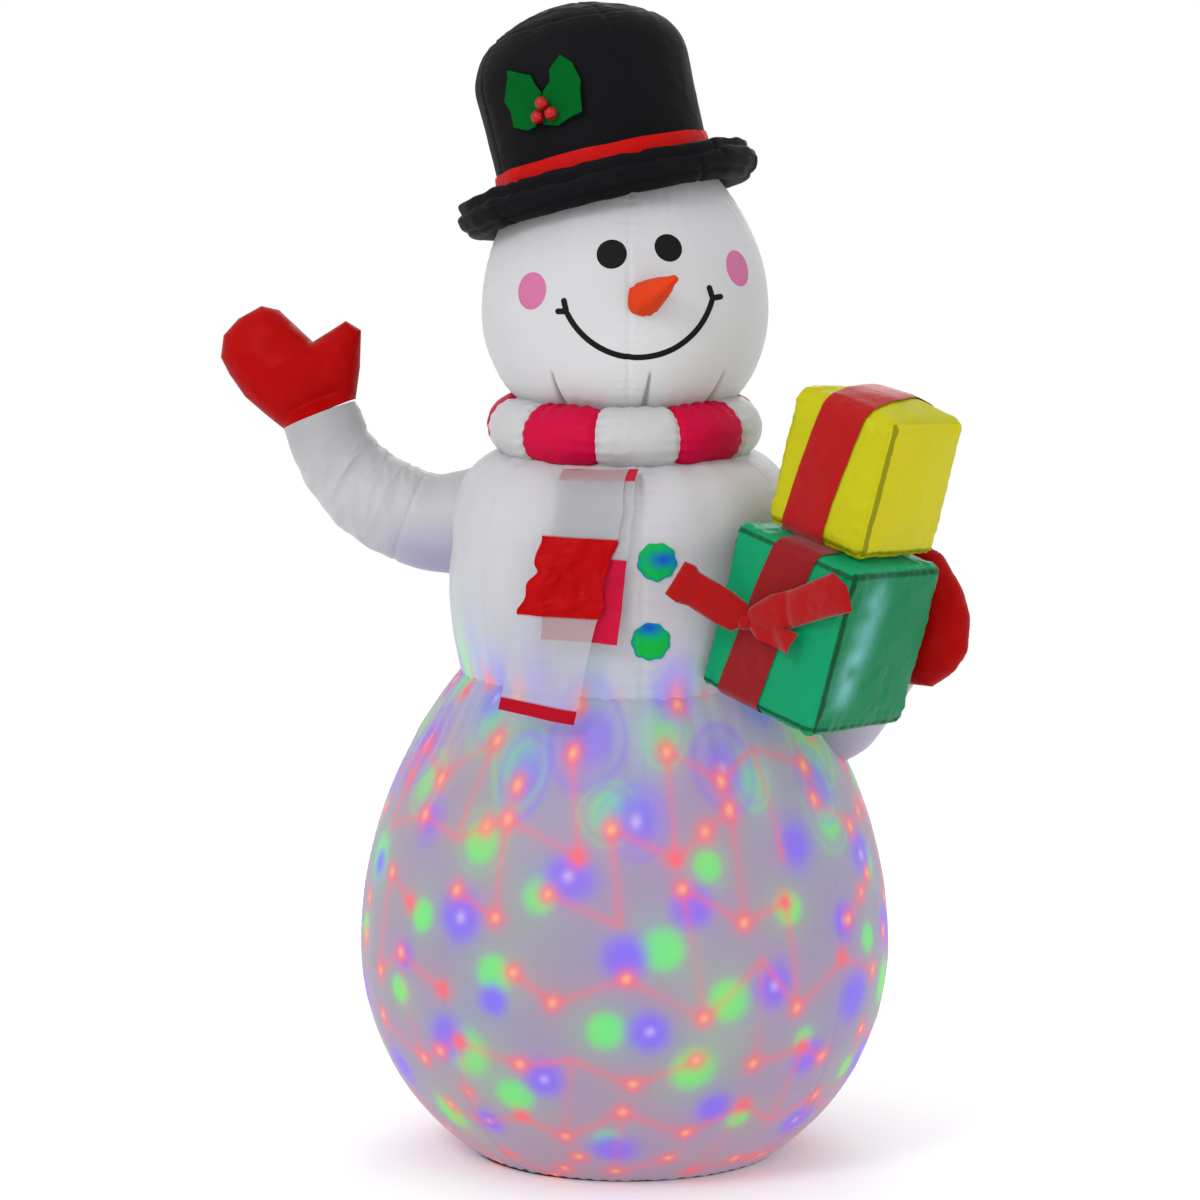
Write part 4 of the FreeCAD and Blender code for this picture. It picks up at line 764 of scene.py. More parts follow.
def stroke(xs, zs, half):
    """A printed line on the head with round ends, through points in the XZ plane."""
    line = np.stack([xs, zs], 1)
    way = np.gradient(line, axis=0)
    way /= np.linalg.norm(way, axis=1)[:, None]
    across = np.stack([-way[:, 1], way[:, 0]], 1)
    steps = np.concatenate([[0], np.cumsum(np.linalg.norm(np.diff(line, axis=0), axis=1))])
    end = np.minimum(steps, steps[-1] - steps)
    width = np.sqrt(np.clip(1 - (1 - np.clip(end / half, 0, 1)) ** 2, 0.002, 1))
    offset = np.linspace(-1, 1, 7)
    spot = line[:, None] + across[:, None] * (offset[None, :, None] * (half * width)[:, None, None])
    lift = 0.0012 - 0.0008 * np.abs(offset)[None, :] ** 6
    return on_head(spot[..., 0], spot[..., 1], lift), grid_faces(len(line), 7, False)


MOUTH_X, MOUTH_Z, MOUTH_R = 0.025, 1.811, 0.153
tilt = math.radians(5.5)
t = np.linspace(math.radians(199) + tilt, math.radians(341) + tilt, 150)
strokes = [stroke(MOUTH_X + MOUTH_R * np.cos(t), MOUTH_Z + MOUTH_R * np.sin(t), 0.0056)]
for end, ways in ((t[0], (103, 178)), (t[-1], (108, 12))):
    x0, z0 = MOUTH_X + MOUTH_R * math.cos(end), MOUTH_Z + MOUTH_R * math.sin(end)
    for way, reach in zip(ways, (0.027, 0.022)):
        s = np.linspace(-0.004, reach, 24)
        xs, zs = x0 + s * math.cos(math.radians(way)), z0 + s * math.sin(math.radians(way))
        strokes.append(stroke(xs, zs, 0.0058))
mouth_piece = build("mouth_print", *joined(strokes), black_print)
declare("mouth")

NOSE_FOOT, NOSE_AIM = Vector((0.039, -0.386, 1.771)), Vector((0.0595, -0.110, 0.035))
nose_turn = NOSE_AIM.to_track_quat("Z", "Y").to_matrix()
NOSE_LENGTH, NOSE_R, NOSE_TIP_R = NOSE_AIM.length, 0.034, 0.006
rows, columns = 60, 96
t, a = polar(np.linspace(-0.10, 1, rows), columns)
radius = (NOSE_R + (NOSE_TIP_R - NOSE_R) * np.clip(t, 0, 1)) * np.sqrt(np.clip((1.0 - t) / 0.04, 0, 1))
radius = radius * (1 + 0.05 * np.cos(3 * a + 0.6) + 0.03 * np.cos(5 * a))
radius = radius + 0.002 * np.sin(math.pi * np.clip(t, 0, 1))
radius = radius + 0.0016 * np.sin(13 * a) * np.exp(-np.abs(t) / 0.10) * (t > -0.05)
local = np.stack([radius * np.cos(a), radius * np.sin(a), t * NOSE_LENGTH], -1)
outwards = np.stack([np.cos(a), np.sin(a), 0 * a], -1)
local += 0.0012 * creases(local, 0.03, 31)[..., None] * outwards * (t < 0.95)[..., None]
points = local @ np.array(nose_turn).T + np.array(NOSE_FOOT)
nose_piece = build("nose_cone", points, grid_faces(rows, columns, True), nose_cloth)
declare("nose")


# ---------------------------------------------------------------- hat

CROWN_R, CORNER_R, CORNER_Z, TOP_Z = 0.2195, 0.165, 0.352, 0.398


def crown_relief(turn, run, r, base):
    """The seam round the top, four upright seams, and crinkles on the top."""
    out = 0.004 * noise(base, 0.16, 33) + 0.0012 * creases(base, 0.09, 35)
    rim = run - 0.372
    out = out + seam(rim, r * turn, 5, depth=0.0020, wave=0.045, reach=0.030)
    for k in range(4):
        out = out + seam(r * turned(turn, 0.4 + k * math.pi / 2), run, 6 + k, depth=0.0016)
    top = smooth(0.33, 0.42, run)
    return out + 0.0016 * top * creases(base, 0.045, 37)


drop = TOP_Z - CORNER_Z
dome = (CORNER_R**2 + drop**2) / (2 * drop)
crown = Skin(
    [
        np.array([(CROWN_R, z) for z in np.linspace(0.0, 0.25, 50)]),
        arc((CROWN_R, 0.25), (CORNER_R, CORNER_Z), 0.118),
        np.array(
            [
                (dome * math.sin(s), TOP_Z - dome * (1 - math.cos(s)))
                for s in np.linspace(math.asin(CORNER_R / dome), 0.002, 60)
            ]
        ),
    ],
    HAT,
    crown_relief,
)
turn, run, points = crown.grid(140, 420)
crown_piece = build("crown_cloth", points, grid_faces(*turn.shape, True), black_cloth)
declare("hat_crown")

BRIM_R, BRIM_TUBE, BRIM_Z = 0.276, 0.041, 0.015
rows, columns = 96, 520
a, turn = polar(np.linspace(0, 2 * math.pi, rows + 1), columns)
ring = around(BRIM_R, turn, 0)
fold = 0.62 + 0.30 * noise(ring, 0.11, 41) + 0.10 * noise(ring, 0.03, 42)
relief = -0.0085 * bump(turned(a, fold), 0.20) + 0.0045 * bump(turned(a, fold + 0.38), 0.22)
low_fold = -0.75 + 0.35 * noise(ring, 0.10, 43)
relief += -0.0050 * bump(turned(a, low_fold), 0.16)
skew = ring + np.stack([0 * a, 0 * a, 0.045 * a], -1)
relief += 0.0016 * np.sin(turn * 17 + 5 * noise(skew, 0.09, 44)) * (0.35 + 0.65 * bump(turned(a, 0.9), 0.9))
relief += 0.0013 * creases(skew, 0.08, 45)
for k, about in enumerate((-0.62, 0.31, 0.86, 1.57, 2.4, 3.2, 4.1)):
    relief += -0.0035 * bump(BRIM_R * turned(turn, about) + 0.010 * (a - 0.5), 0.006)
tube = BRIM_TUBE + relief - 0.002
out = BRIM_R + tube * np.cos(a) * 0.98
points = around(out, turn, BRIM_Z + tube * np.sin(a))
share, turn = np.meshgrid(np.linspace(0, 1, 8), turn[0], indexing="ij")
r = CROWN_R - 0.004 + (BRIM_R - BRIM_TUBE - CROWN_R + 0.016) * share
seat = around(r, turn, BRIM_Z + 0.012)
points, faces = joined([(points, grid_faces(rows + 1, columns, True)), (seat, grid_faces(8, columns, True))])
brim_piece = build("brim_cloth", place(points, HAT), faces, black_cloth)
declare("hat_brim")

BAND_LOW, BAND_HIGH = 0.036, 0.088
rows, columns = 12, 360
h, turn = polar(np.linspace(0, 1, rows), columns)
z = BAND_LOW + (BAND_HIGH - BAND_LOW) * h
spot = around(CROWN_R, turn, z)
z = z + 0.0018 * noise(spot, 0.05, 47) * h
r = CROWN_R + 0.0035 + 0.0025 * np.sin(math.pi * h) + 0.004 * noise(spot, 0.16, 33)
r = r + 0.0008 * creases(spot, 0.05, 48)
band_piece = build("band_cloth", place(around(r, turn, z), HAT), grid_faces(rows, columns, True), band_cloth)
declare("hat_band")

HOLLY_TURN, HOLLY_Z = math.radians(-23), 0.178
LEFT_LEAF = [
    (-62, 98), (-14, 75), (-9, 55), (-1, 38), (-3, 5), (-28, -25),
    (-46, -28), (-76, -14), (-78, 15), (-89, 41), (-73, 73),
]
RIGHT_LEAF = [
    (53, 99), (72, 79), (76, 63), (81, 41), (76, 23), (71, -20), (43, -26),
    (19, -35), (-10, -25), (-8, 6), (4, 39), (21, 53), (26, 76),
]


def leaf(outline, foot, tip, height):
    """A felt leaf that lies round the crown, its tip curling off it."""
    flat, faces, _, _ = pattern(outline, 0.0035)
    foot, tip = np.array(foot) / 1000.0, np.array(tip) / 1000.0
    along = (flat - foot) @ (tip - foot) / ((tip - foot) @ (tip - foot))
    across = (flat - foot) @ np.array([-(tip - foot)[1], (tip - foot)[0]]) / np.linalg.norm(tip - foot)
    spot = np.stack([flat[:, 0], 0 * across, flat[:, 1]], -1)
    away = height + 0.006 * smooth(0.5, 1.15, along) + 0.003 * np.abs(across / 0.04) ** 2
    away = away - 0.002 * bump(across, 0.004) + 0.002 * noise(spot, 0.03, 51)
    turn = HOLLY_TURN + flat[:, 0] / CROWN_R
    area = sum(0.5 * abs(np.cross(flat[f[1]] - flat[f[0]], flat[f[2]] - flat[f[0]])) for f in faces)
    return place(around(CROWN_R + away, turn, HOLLY_Z + flat[:, 1]), HAT), faces, float(area)


leaves = []
for name, outline, foot, tip, height in (
    ("holly_leaf_left", LEFT_LEAF, (-8, -10), (-74, 92), 0.006),
    ("holly_leaf_right", RIGHT_LEAF, (0, -10), (50, 96), 0.0075),
):
    outline = np.array(outline) / 1000.0
    points, faces, area = leaf(outline, foot, tip, height)
    piece = build(name, points, faces, leaf_felt)
    solid = piece.modifiers.new("felt", "SOLIDIFY")
    solid.thickness, solid.offset = 0.0012, 0
    leaves.append(piece)
for piece in leaves:
    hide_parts("holly_leaves")

BERRY_R = 0.0133
berries = []
for x, z in ((-0.0135, -0.009), (0.0135, -0.009), (0.0, 0.0145)):
    berry = BERRY_R * sphere(24, 36, 0.01) * (1, -1, 1)
    berry *= (1 + 0.02 * noise(berry + x, 0.008, 53))[..., None]
    r, turn = CROWN_R + 0.0195, HOLLY_TURN + x / CROWN_R
    berry = berry + np.array([r * math.sin(turn), -r * math.cos(turn), HOLLY_Z + z])
    berries.append((place(berry, HAT), grid_faces(24, 36, True)))
berry_piece = build("berries", *joined(berries), berry_plastic)
declare("holly_berries")


# ---------------------------------------------------------------- scarf

SCARF_R, SCARF_TUBE, SCARF_Z, STRIPES = 0.221, 0.063, 0.516, 10
stripe_turn = 2 * math.pi / STRIPES
rows, columns = 110, 640
first = FRONT_TURN - stripe_turn / 2
a, turn = polar(np.linspace(0, 2 * math.pi, rows + 1), columns, first)
stripe = np.floor((turn - first) / stripe_turn + 1e-9).astype(int)
share = (turn - first) / stripe_turn - stripe
ring = around(SCARF_R, turn, 0)
skew = ring * (1 + 0.25 * np.cos(a))[..., None] + np.stack([0 * a, 0 * a, 0.063 * np.sin(a)], -1)
gap = np.minimum(share, 1 - share) * stripe_turn * SCARF_R
arc_length = (SCARF_R + SCARF_TUBE) * turn
relief = -0.0055 * bump(gap, 0.006) + 0.0025 * np.sin(math.pi * share)
relief += 0.0016 * np.sin(a * 16 + 2 * noise(ring, 0.05, 61)) * np.exp(-gap / 0.022)
upper = bump(turned(a, 1.75), 0.75)
red = stripe % 2 == 1
loose = 0.6 + 0.7 * noise(ring, 0.07, 66)
ripple = np.sin(2 * math.pi * arc_length / 0.040 + 4 * noise(ring, 0.08, 62))
relief += np.where(red, 0.0042, 0.0012) * loose * upper * ripple
under = bump(turned(a, -1.6), 0.6)
relief += 0.0014 * under * np.sin(2 * math.pi * arc_length / 0.034 + 4 * noise(ring, 0.08, 63))
relief += 0.0030 * noise(skew, 0.10, 64) + 0.0012 * creases(skew, 0.06, 65)
tube = SCARF_TUBE - 0.003 + relief
points = place(around(SCARF_R + tube * np.cos(a), turn, SCARF_Z + tube * np.sin(a)), TORSO)
faces = grid_faces(rows + 1, columns, True)
of_face = stripe.reshape(-1)[faces[:, 0]]
colours = np.tile(rgb(187, 187, 189), (points.size // 3, 1))
for name, keep, material, slot_name in (
    ("scarf_white", of_face % 2 == 0, white_cloth, "white_polyester"),
    ("scarf_red", of_face % 2 == 1, scarf_red, "red_polyester"),
):
    piece = build(name + "_puffs", points, faces[keep], material, paint=colours, light=colours * 0.03)
    declare(name + "_stripes")

TAIL_WIDTH, TAIL_TURN = 0.152, math.radians(-9)
TAIL_TOP, TAIL_FOLD = 1.437, 1.36
TAIL_LINE = np.array([(0.362, TAIL_TOP), (0.408, 1.419), (0.432, 1.385), (0.439, 1.335), (0.439, 0.966)])
TAIL_RED, TAIL_DEEP, TAIL_CLEAR = rgb(186, 14, 54), rgb(172, 0, 4), rgb(180, 180, 186)


def scarf_tail(name, lift, top_x, foot_x, foot_z, prints, seed, crumple, tilt):
    """A clear tail that hangs from the scarf. prints are (low, high, colour) bands of height."""
    line = TAIL_LINE.copy()
    line[-1, 1] = foot_z
    steps = np.concatenate([[0], np.cumsum(np.linalg.norm(np.diff(line, axis=0), axis=1))])
    rows, columns = 150, 48
    s = np.linspace(0, steps[-1], rows)
    d, z = np.interp(s, steps, line[:, 0]), np.interp(s, steps, line[:, 1])
    kernel = np.ones(9) / 9
    d, z = (np.concatenate([v[:4], np.convolve(v, kernel, "valid"), v[-4:]]) for v in (d, z))
    u, depth = np.meshgrid(np.linspace(-0.5, 0.5, columns), d + lift, indexing="xy")
    height = np.repeat(z[:, None], columns, 1)
    fall = np.clip((TAIL_TOP - height) / (TAIL_TOP - foot_z), 0, 1)
    lean = top_x + (foot_x - top_x) * np.clip((TAIL_FOLD - height) / (TAIL_FOLD - foot_z), 0, 1)
    across = lean + u * TAIL_WIDTH
    spot = np.stack([u * TAIL_WIDTH, 0 * u, height], -1)
    wave = 0.0035 * np.sin(6 * u + 9 * fall + seed) * smooth(0, 0.3, fall)
    wave = wave + 0.004 * noise(spot, 0.09, seed) * smooth(0.05, 0.3, fall)
    rough = crumple(height)
    wave = wave + rough * 0.0085 * creases(spot, 0.050, seed + 2)
    across = across + rough * 0.010 * noise(spot, (0.5, 1, 0.045), seed + 4) * np.abs(u) * 2
    across = across + rough * 0.016 * bump(height - 1.237, 0.014) * smooth(0.1, -0.5, u)
    across = across - rough * 0.014 * bump(height - 1.160, 0.022) * smooth(0.1, -0.5, u)
    height = height - (0.010 + tilt * smooth(0.75, 1, fall)) * (u + 0.5) * smooth(0, 0.25, fall)
    height = height + 0.002 * noise(spot, (0.06, 1, 0.5), seed + 6)
    points = np.stack([across, -(depth + np.maximum(wave, -0.004)), height], -1)
    points = place(points, Matrix.Rotation(TAIL_TURN, 4, "Z"))
    lit, light = torso_colours(points)
    lit_share = smooth(1.14, 1.04, points.reshape(-1, 3)[:, 2])[:, None]
    colours = blend(TAIL_CLEAR, lit, lit_share)
    light = light * lit_share + 0.02
    faces = grid_faces(rows, columns, False)
    printed_rows = np.zeros(rows, bool)
    for low, high, shade in prints:
        inside = (z >= low) & (z <= high)
        printed_rows |= inside
        inside = np.repeat(inside, columns)
        colours[inside] = shade
        light[inside] = shade * 0.04
    tags = np.repeat(printed_rows, columns)[faces].all(1)
    cloths = [veil_cloth, print_cloth]
    piece = build(name + "_cloth", points, faces, cloths, "scarf_tails", tags, paint=colours, light=light)
    declare(name)


scarf_tail(
    "scarf_tail_under", 0.0, 0.010, -0.022, 1.105,
    [(1.415, TAIL_TOP, rgb(190, 28, 54)), (1.105, 1.272, TAIL_RED)], 71, lambda z: 0.25 + 0 * z, 0.0,
)
scarf_tail(
    "scarf_tail_over", 0.009, -0.010, -0.106, 0.966,
    [(1.152, 1.312, TAIL_DEEP), (0.90, 0.992, rgb(168, 6, 30))], 73,
    lambda z: 0.15 + 0.85 * smooth(1.13, 1.17, z) * smooth(1.33, 1.29, z), 0.020,
)


# ---------------------------------------------------------------- arms

SLEEVE_WHITE = rgb(184, 184, 187)
WAVING = [
    (-0.250, -0.045, 1.335, 0.118), (-0.330, -0.042, 1.322, 0.108), (-0.394, -0.040, 1.322, 0.101),
    (-0.456, -0.038, 1.340, 0.096), (-0.525, -0.036, 1.377, 0.092), (-0.580, -0.034, 1.425, 0.086),
    (-0.614, -0.033, 1.480, 0.082), (-0.640, -0.032, 1.546, 0.080),
]
ELBOW, ELBOW_R = (0.408, -0.008, 0.905), 0.1035
UPPER = [
    (0.250, -0.040, 1.345, 0.110), (0.335, -0.028, 1.290, 0.108), (0.388, -0.012, 1.200, 0.106),
    (0.408, -0.002, 1.090, 0.105), (0.408, -0.004, 0.990, 0.104), (*ELBOW, 0.103),
]
FORE = [
    (*ELBOW, 0.098), (0.440, -0.076, 0.922, 0.092), (0.470, -0.135, 0.962, 0.086),
    (0.503, -0.184, 1.008, 0.080), (0.532, -0.214, 1.052, 0.076),
]


def sleeve(stations, rows, columns, seed, rough, rings):
    """A sleeve's points with cross wrinkles where rough(along) says and seams at the rings."""
    along, turn, points, spoke, radius = swept(stations, rows, columns)
    tube = np.stack([np.cos(turn) * radius, np.sin(turn) * radius, along], -1)
    amount = rough(along / along.max())
    relief = 0.003 * noise(points, 0.14, seed) + 0.0008 * creases(points, 0.09, seed + 1)
    skew = tube + np.stack([0 * along, 0 * along, 0.35 * tube[..., 0]], -1)
    relief += amount * 0.0030 * creases(skew, (0.12, 0.12, 0.055), seed + 3)
    relief += amount * 0.0012 * creases(skew, (0.055, 0.055, 0.038), seed + 5)
    for where in rings:
        relief += seam(along - where, turn * radius, seed + 7, depth=0.0022, wave=0.022, reach=0.02)
    relief += seam(radius * turned(turn, math.pi * 1.5), along, seed + 8, depth=0.0016)
    return points + spoke * relief[..., None], grid_faces(rows, columns, True)


points, faces = sleeve(
    WAVING, 230, 140, 81, lambda t: smooth(0.30, 0.55, t) * (0.5 + 0.5 * smooth(0.98, 0.75, t)), [0.20]
)
faces = faces[~torso.inside(centres(points, faces), 0.010)]
flat = points.reshape(-1, 3)
# Painted light and shade: a lavender cast low down near the torso, and the sleeve darker up towards the
# mitten.
low = smooth(1.36, 1.24, flat[:, 2])[:, None] * smooth(-0.60, -0.40, flat[:, 0])[:, None]
dim = smooth(1.35, 1.55, flat[:, 2])[:, None]
colours = blend(SLEEVE_WHITE, rgb(166, 160, 190), low) * (1 - 0.24 * dim)
waving_piece = build("waving_sleeve", points, faces, white_cloth, paint=colours, light=colours * 0.02)
declare("waving_arm")


def capped(points, faces):
    """A closed tube: the grid's two end rings shut with a point each."""
    rows, columns = points.shape[:2]
    ends = np.stack([points[0].mean(0), points[-1].mean(0)])
    every = np.concatenate([points.reshape(-1, 3), ends])
    j = np.arange(columns)
    k = (j + 1) % columns
    a, b = rows * columns, rows * columns + 1
    low = np.stack([k, j, np.full(columns, a)], 1)
    high = np.stack([(rows - 1) * columns + j, (rows - 1) * columns + k, np.full(columns, b)], 1)
    quads = np.concatenate([faces[:, [0, 1, 2]], faces[:, [0, 2, 3]]])
    return every, np.concatenate([quads, low, high])


def melted(name, shells, voxel, smoothing, relief):
    """Overlapping closed shells remeshed into one skin, smoothed, then moved by relief along its normals."""
    points, faces = joined(shells)
    mesh = bpy.data.meshes.new(name)
    mesh.from_pydata([tuple(p) for p in points], [], [tuple(int(i) for i in f) for f in faces])
    obj = bpy.data.objects.new(name, mesh)
    bpy.context.scene.collection.objects.link(obj)
    remesh = obj.modifiers.new("melt", "REMESH")
    remesh.mode, remesh.voxel_size = "VOXEL", voxel
    relax = obj.modifiers.new("relax", "SMOOTH")
    relax.factor, relax.iterations = 0.5, smoothing
    made = obj.evaluated_get(bpy.context.evaluated_depsgraph_get()).to_mesh()
    points = np.array([v.co for v in made.vertices])
    normals = np.array([v.normal for v in made.vertices])
    faces = np.array([f.vertices for f in made.polygons if len(f.vertices) == 4])
    bpy.data.objects.remove(obj)
    return points + normals * relief(points)[:, None], faces


def elbow_relief(points):
    """Soft dents, with finer creases in the bend of the elbow."""
    bend = np.exp(-(np.linalg.norm(points - np.array([0.36, -0.05, 0.95]), axis=1) / 0.13) ** 2)
    fine = creases(points, (0.09, 0.09, 0.045), 93)
    return 0.003 * noise(points, 0.14, 91) + 0.0010 * creases(points, 0.10, 92) + bend * 0.0035 * fine


upper = swept(UPPER, 80, 90)[2]
fore = swept(FORE, 50, 80)[2]
points, faces = melted(
    "holding_melt",
    [
        capped(upper, grid_faces(80, 90, True)),
        capped(fore, grid_faces(50, 80, True)),
        capped(sphere(60, 90, 0.02) * ELBOW_R + ELBOW, grid_faces(60, 90, True)),
    ],
    0.006, 10, elbow_relief,
)
faces = faces[~torso.inside(centres(points, faces), 0.010)]
# Painted light: a lavender cast towards the bottom of the sleeve.
colours = blend(SLEEVE_WHITE, rgb(172, 166, 188), smooth(1.05, 0.85, points[:, 2])[:, None])
holding_piece = build("holding_sleeve", points, faces, white_cloth, paint=colours, light=colours * 0.02)
declare("holding_arm")

MITTEN = [
    (-78, 0), (-103, 45), (-128, 95), (-140, 150), (-143, 190), (-120, 230), (-78, 250),
    (-23, 256), (8, 234), (48, 146), (128, 160), (150, 130), (118, 60), (84, 2),
]
HELD_MITTEN = [
    (60, -50), (114, -52), (165, -20), (194, 21), (198, 91), (175, 151), (130, 216), (85, 238),
    (45, 222), (25, 165), (5, 225), (-35, 235), (-60, 205), (-65, 120), (-58, 50),
]


def mitten(name, outline, origin, across, along, cuff, fullness, seed, cad_node):
    """A mitten blown up from two flat cuts, with puckers round its seam. The cuff opens round the wrist."""
    origin, across, along = (np.array(v, float) for v in (origin, across, along))
    across /= np.linalg.norm(across)
    along -= across * (along @ across)
    along /= np.linalg.norm(along)
    face = np.cross(across, along)
    outline = np.array(outline) / 1000.0
    mouth_a, mouth_b = (np.array(v) / 1000.0 for v in cuff)

    def shape(x, y, height, side):
        flat = np.stack([x, y], -1)
        run = mouth_b - mouth_a
        length = np.linalg.norm(run)
        t = np.clip((flat - mouth_a) @ run / length**2, 0, 1)
        off = np.abs((flat - mouth_a) @ np.array([-run[1], run[0]]) / length)
        open_ = np.exp(-off / 0.055) * np.sqrt(np.clip(1 - (2 * t - 1) ** 2, 0, 1)) * length / 2
        tall = np.maximum(height, open_ * 0.96)
        spot = np.stack([x, y, side * tall], -1)
        near = np.exp(-height / 0.022)
        pucker = np.sin(2 * math.pi * (x + 0.7 * y) / 0.024 + 3 * noise(spot, 0.05, seed))
        ripple = 0.0010 * near * (1 - np.exp(-off / 0.03)) * pucker
        relief = 0.0035 * noise(spot, 0.10, seed + 1) + 0.0028 * creases(spot, 0.08, seed + 2)
        tall = tall + (relief + ripple) * smooth(0.0, 0.03, tall)
        return origin + np.outer(x, across) + np.outer(y, along) + np.outer(side * tall, face)

    points, faces = inflated(outline, 0.0045, fullness, shape)
    piece = build(name, points, faces, mitten_red)
    declare(cad_node)


mitten(
    "waving_mitten_cloth", MITTEN, (-0.640, -0.032, 1.546), (0.92, 0, 0.38), (-0.38, 0, 0.92),
    ((-78, 0), (84, 2)), 0.80, 95, "waving_mitten",
)
mitten(
    "holding_mitten_cloth", HELD_MITTEN, (0.532, -0.214, 1.052), (0.748, -0.664, 0), (0, 0, 1),
    ((-58, 50), (60, -50)), 0.70, 97, "holding_mitten",
)


# ---------------------------------------------------------------- buttons


def rag_button(x, z, seed):
    """A stuffed button on the chest, its edge gathered into short flats."""
    rings, spokes = 26, 90
    size, t = polar(np.linspace(0.001, 1, rings), spokes)
    edge = 0.0385 * (1 + 0.030 * np.cos(9 * t + seed) + 0.02 * np.cos(5 * t + 2 * seed))
    px, pz = x + edge * size * np.cos(t), z + edge * size * np.sin(t)
    local = place(np.stack([px, -0.39 + 0 * px, pz], -1), np.linalg.inv(np.array(TORSO)))
    run = torso.run_at(local[..., 2])
    turn = np.arcsin(np.clip(px / torso.radius(run), -1, 1))
    dome = 0.008 * np.sqrt(np.clip(1 - size**2, 0, 1)) + 0.0008 * np.cos(9 * t + seed) * size**2
    points = torso.at(turn, run, 0.001 + dome)
    spot = np.stack([size * np.cos(t), size * np.sin(t)], -1)
    return points, grid_faces(rings, spokes, True), spot


button_parts, tints = [], []
for x, z, seed, way in ((0.063, 1.260, 1.0, (0.30, 0.15)), (0.051, 1.099, 2.6, (-0.10, 0.80))):
    points, faces, spot = rag_button(x, z, seed)
    button_parts.append((points, faces))
    blue = np.exp(-(((spot[..., 0] - way[0]) / 0.75) ** 2) - ((spot[..., 1] - way[1]) / 0.45) ** 2)
    rim_blue = smooth(0.75, 1.0, np.hypot(spot[..., 0], spot[..., 1])) * (spot[..., 1] < 0.3)
    share = np.clip(blue + 0.5 * rim_blue, 0, 1)[..., None]
    tints.append(blend(rgb(14, 176, 62), rgb(16, 88, 190), share).reshape(-1, 3))
points, faces = joined(button_parts)
tints = np.concatenate(tints)
button_piece = build("button_cloth", points, faces, print_cloth, paint=tints * 0.5, light=tints * 0.5)
declare("buttons")


# ---------------------------------------------------------------- presents

STACK_UP, STACK_RIGHT = Vector((0.220, -0.214, 0.952)).normalized(), Vector((0.715, -0.629, -0.307))
stack_x = (STACK_RIGHT - STACK_UP * STACK_RIGHT.dot(STACK_UP)).normalized()
stack_y = STACK_UP.cross(stack_x)
STACK = Matrix((stack_x, stack_y, STACK_UP)).transposed().to_4x4()
STACK = Matrix.Translation((0.349, -0.351, 0.967)) @ STACK
GREEN_SIZE, YELLOW_SIZE = (0.304, 0.304, 0.346), (0.250, 0.250, 0.284)
YELLOW = STACK @ Matrix.Translation((-0.005, 0.024, 0.348))


def gift(size, n, round_r, seed, puff):
    """A blown up box on z 0: points, faces, and each point's face axis, side and distances to two edges."""
    half = np.array(size) / 2
    parts, axes, sides, gaps = [], [], [], []
    grid = np.linspace(-1, 1, n)
    grid = np.sign(grid) * (1 - (1 - np.abs(grid)) ** 1.25)
    for axis in range(3):
        for side in (-1, 1):
            u, v = np.meshgrid(grid, grid, indexing="ij")
            cube = np.zeros((n, n, 3))
            others = [k for k in range(3) if k != axis]
            cube[..., others[0]], cube[..., others[1]], cube[..., axis] = u, v, side
            raw = cube * (half - 0.004)
            core = np.clip(raw, -(half - round_r), half - round_r)
            away = raw - core
            length = np.linalg.norm(away, axis=-1, keepdims=True)
            normal = away / length
            points = core + normal * (round_r - 0.004)
            gap_u, gap_v = (1 - np.abs(u)) * half[others[0]], (1 - np.abs(v)) * half[others[1]]
            edge = np.minimum(gap_u, gap_v)
            along = np.where(gap_u < gap_v, v * half[others[1]], u * half[others[0]])
            relief = puff * (1 - u**2) * (1 - v**2)
            stir = noise(points, 0.045, seed + axis)
            relief = relief + 0.0011 * np.exp(-edge / 0.022) * np.sin(2 * math.pi * along / 0.027 + 5 * stir)
            relief = relief + 0.0018 * creases(points, 0.06, seed + 3) * (0.4 + 0.6 * np.exp(-edge / 0.06))
            relief = relief + 0.0030 * noise(points, 0.12, seed + 4)
            corner = np.exp(-(gap_u + gap_v) / 0.05)
            relief = relief + 0.0050 * corner * creases(points, 0.032, seed + 5)
            relief = relief + 0.0016 * bump(edge, 0.0035)
            relief = relief * (0.25 + 0.75 * smooth(0.0, 0.010, edge))
            points = points + normal * relief[..., None] + np.array([0, 0, half[2]])
            faces = grid_faces(n, n, False)
            if side * (1 if axis != 1 else -1) < 0:
                faces = faces[:, ::-1]
            parts.append((points, faces))
            axes.append(np.full(n * n, axis))
            sides.append(np.full(n * n, side))
            gaps.append(np.stack([gap_u, gap_v], -1).reshape(-1, 2))
    points, faces = joined(parts)
    return points, faces, np.concatenate(axes), np.concatenate(sides), np.concatenate(gaps)


def gift_shade(points, axes, sides, gaps, rim_top, lit_front_top_colour, lit_side_colour, band, width=0.017):
    """Colours of a present: one per side as painted light, the front and top lit alike and the other sides
    alike, and the seam band inside its edges up to height rim_top.
    """
    colours = np.where(((axes == 1) & (sides < 0))[:, None], lit_front_top_colour, lit_side_colour)
    colours = np.where((axes == 2)[:, None], lit_front_top_colour, colours)
    upright = np.where(axes == 0, gaps[:, 0], 1.0)
    upright = np.where((axes == 0) & (sides > 0) & (points[:, 1] < 0), upright, 1.0)
    rim = np.where(axes != 2, gaps[:, 1], np.minimum(gaps[:, 0], gaps[:, 1]) + 0.005)
    rim = np.where(points[:, 2] > rim_top, 1.0, rim)
    shown = np.maximum(
        smooth(0.0035, 0.0055, upright) * smooth(width + 0.002, width, upright),
        smooth(0.0035, 0.0055, rim) * smooth(width + 0.002, width, rim) * (axes != 2) * 0.85,
    )[:, None]
    return blend(colours, band, shown)


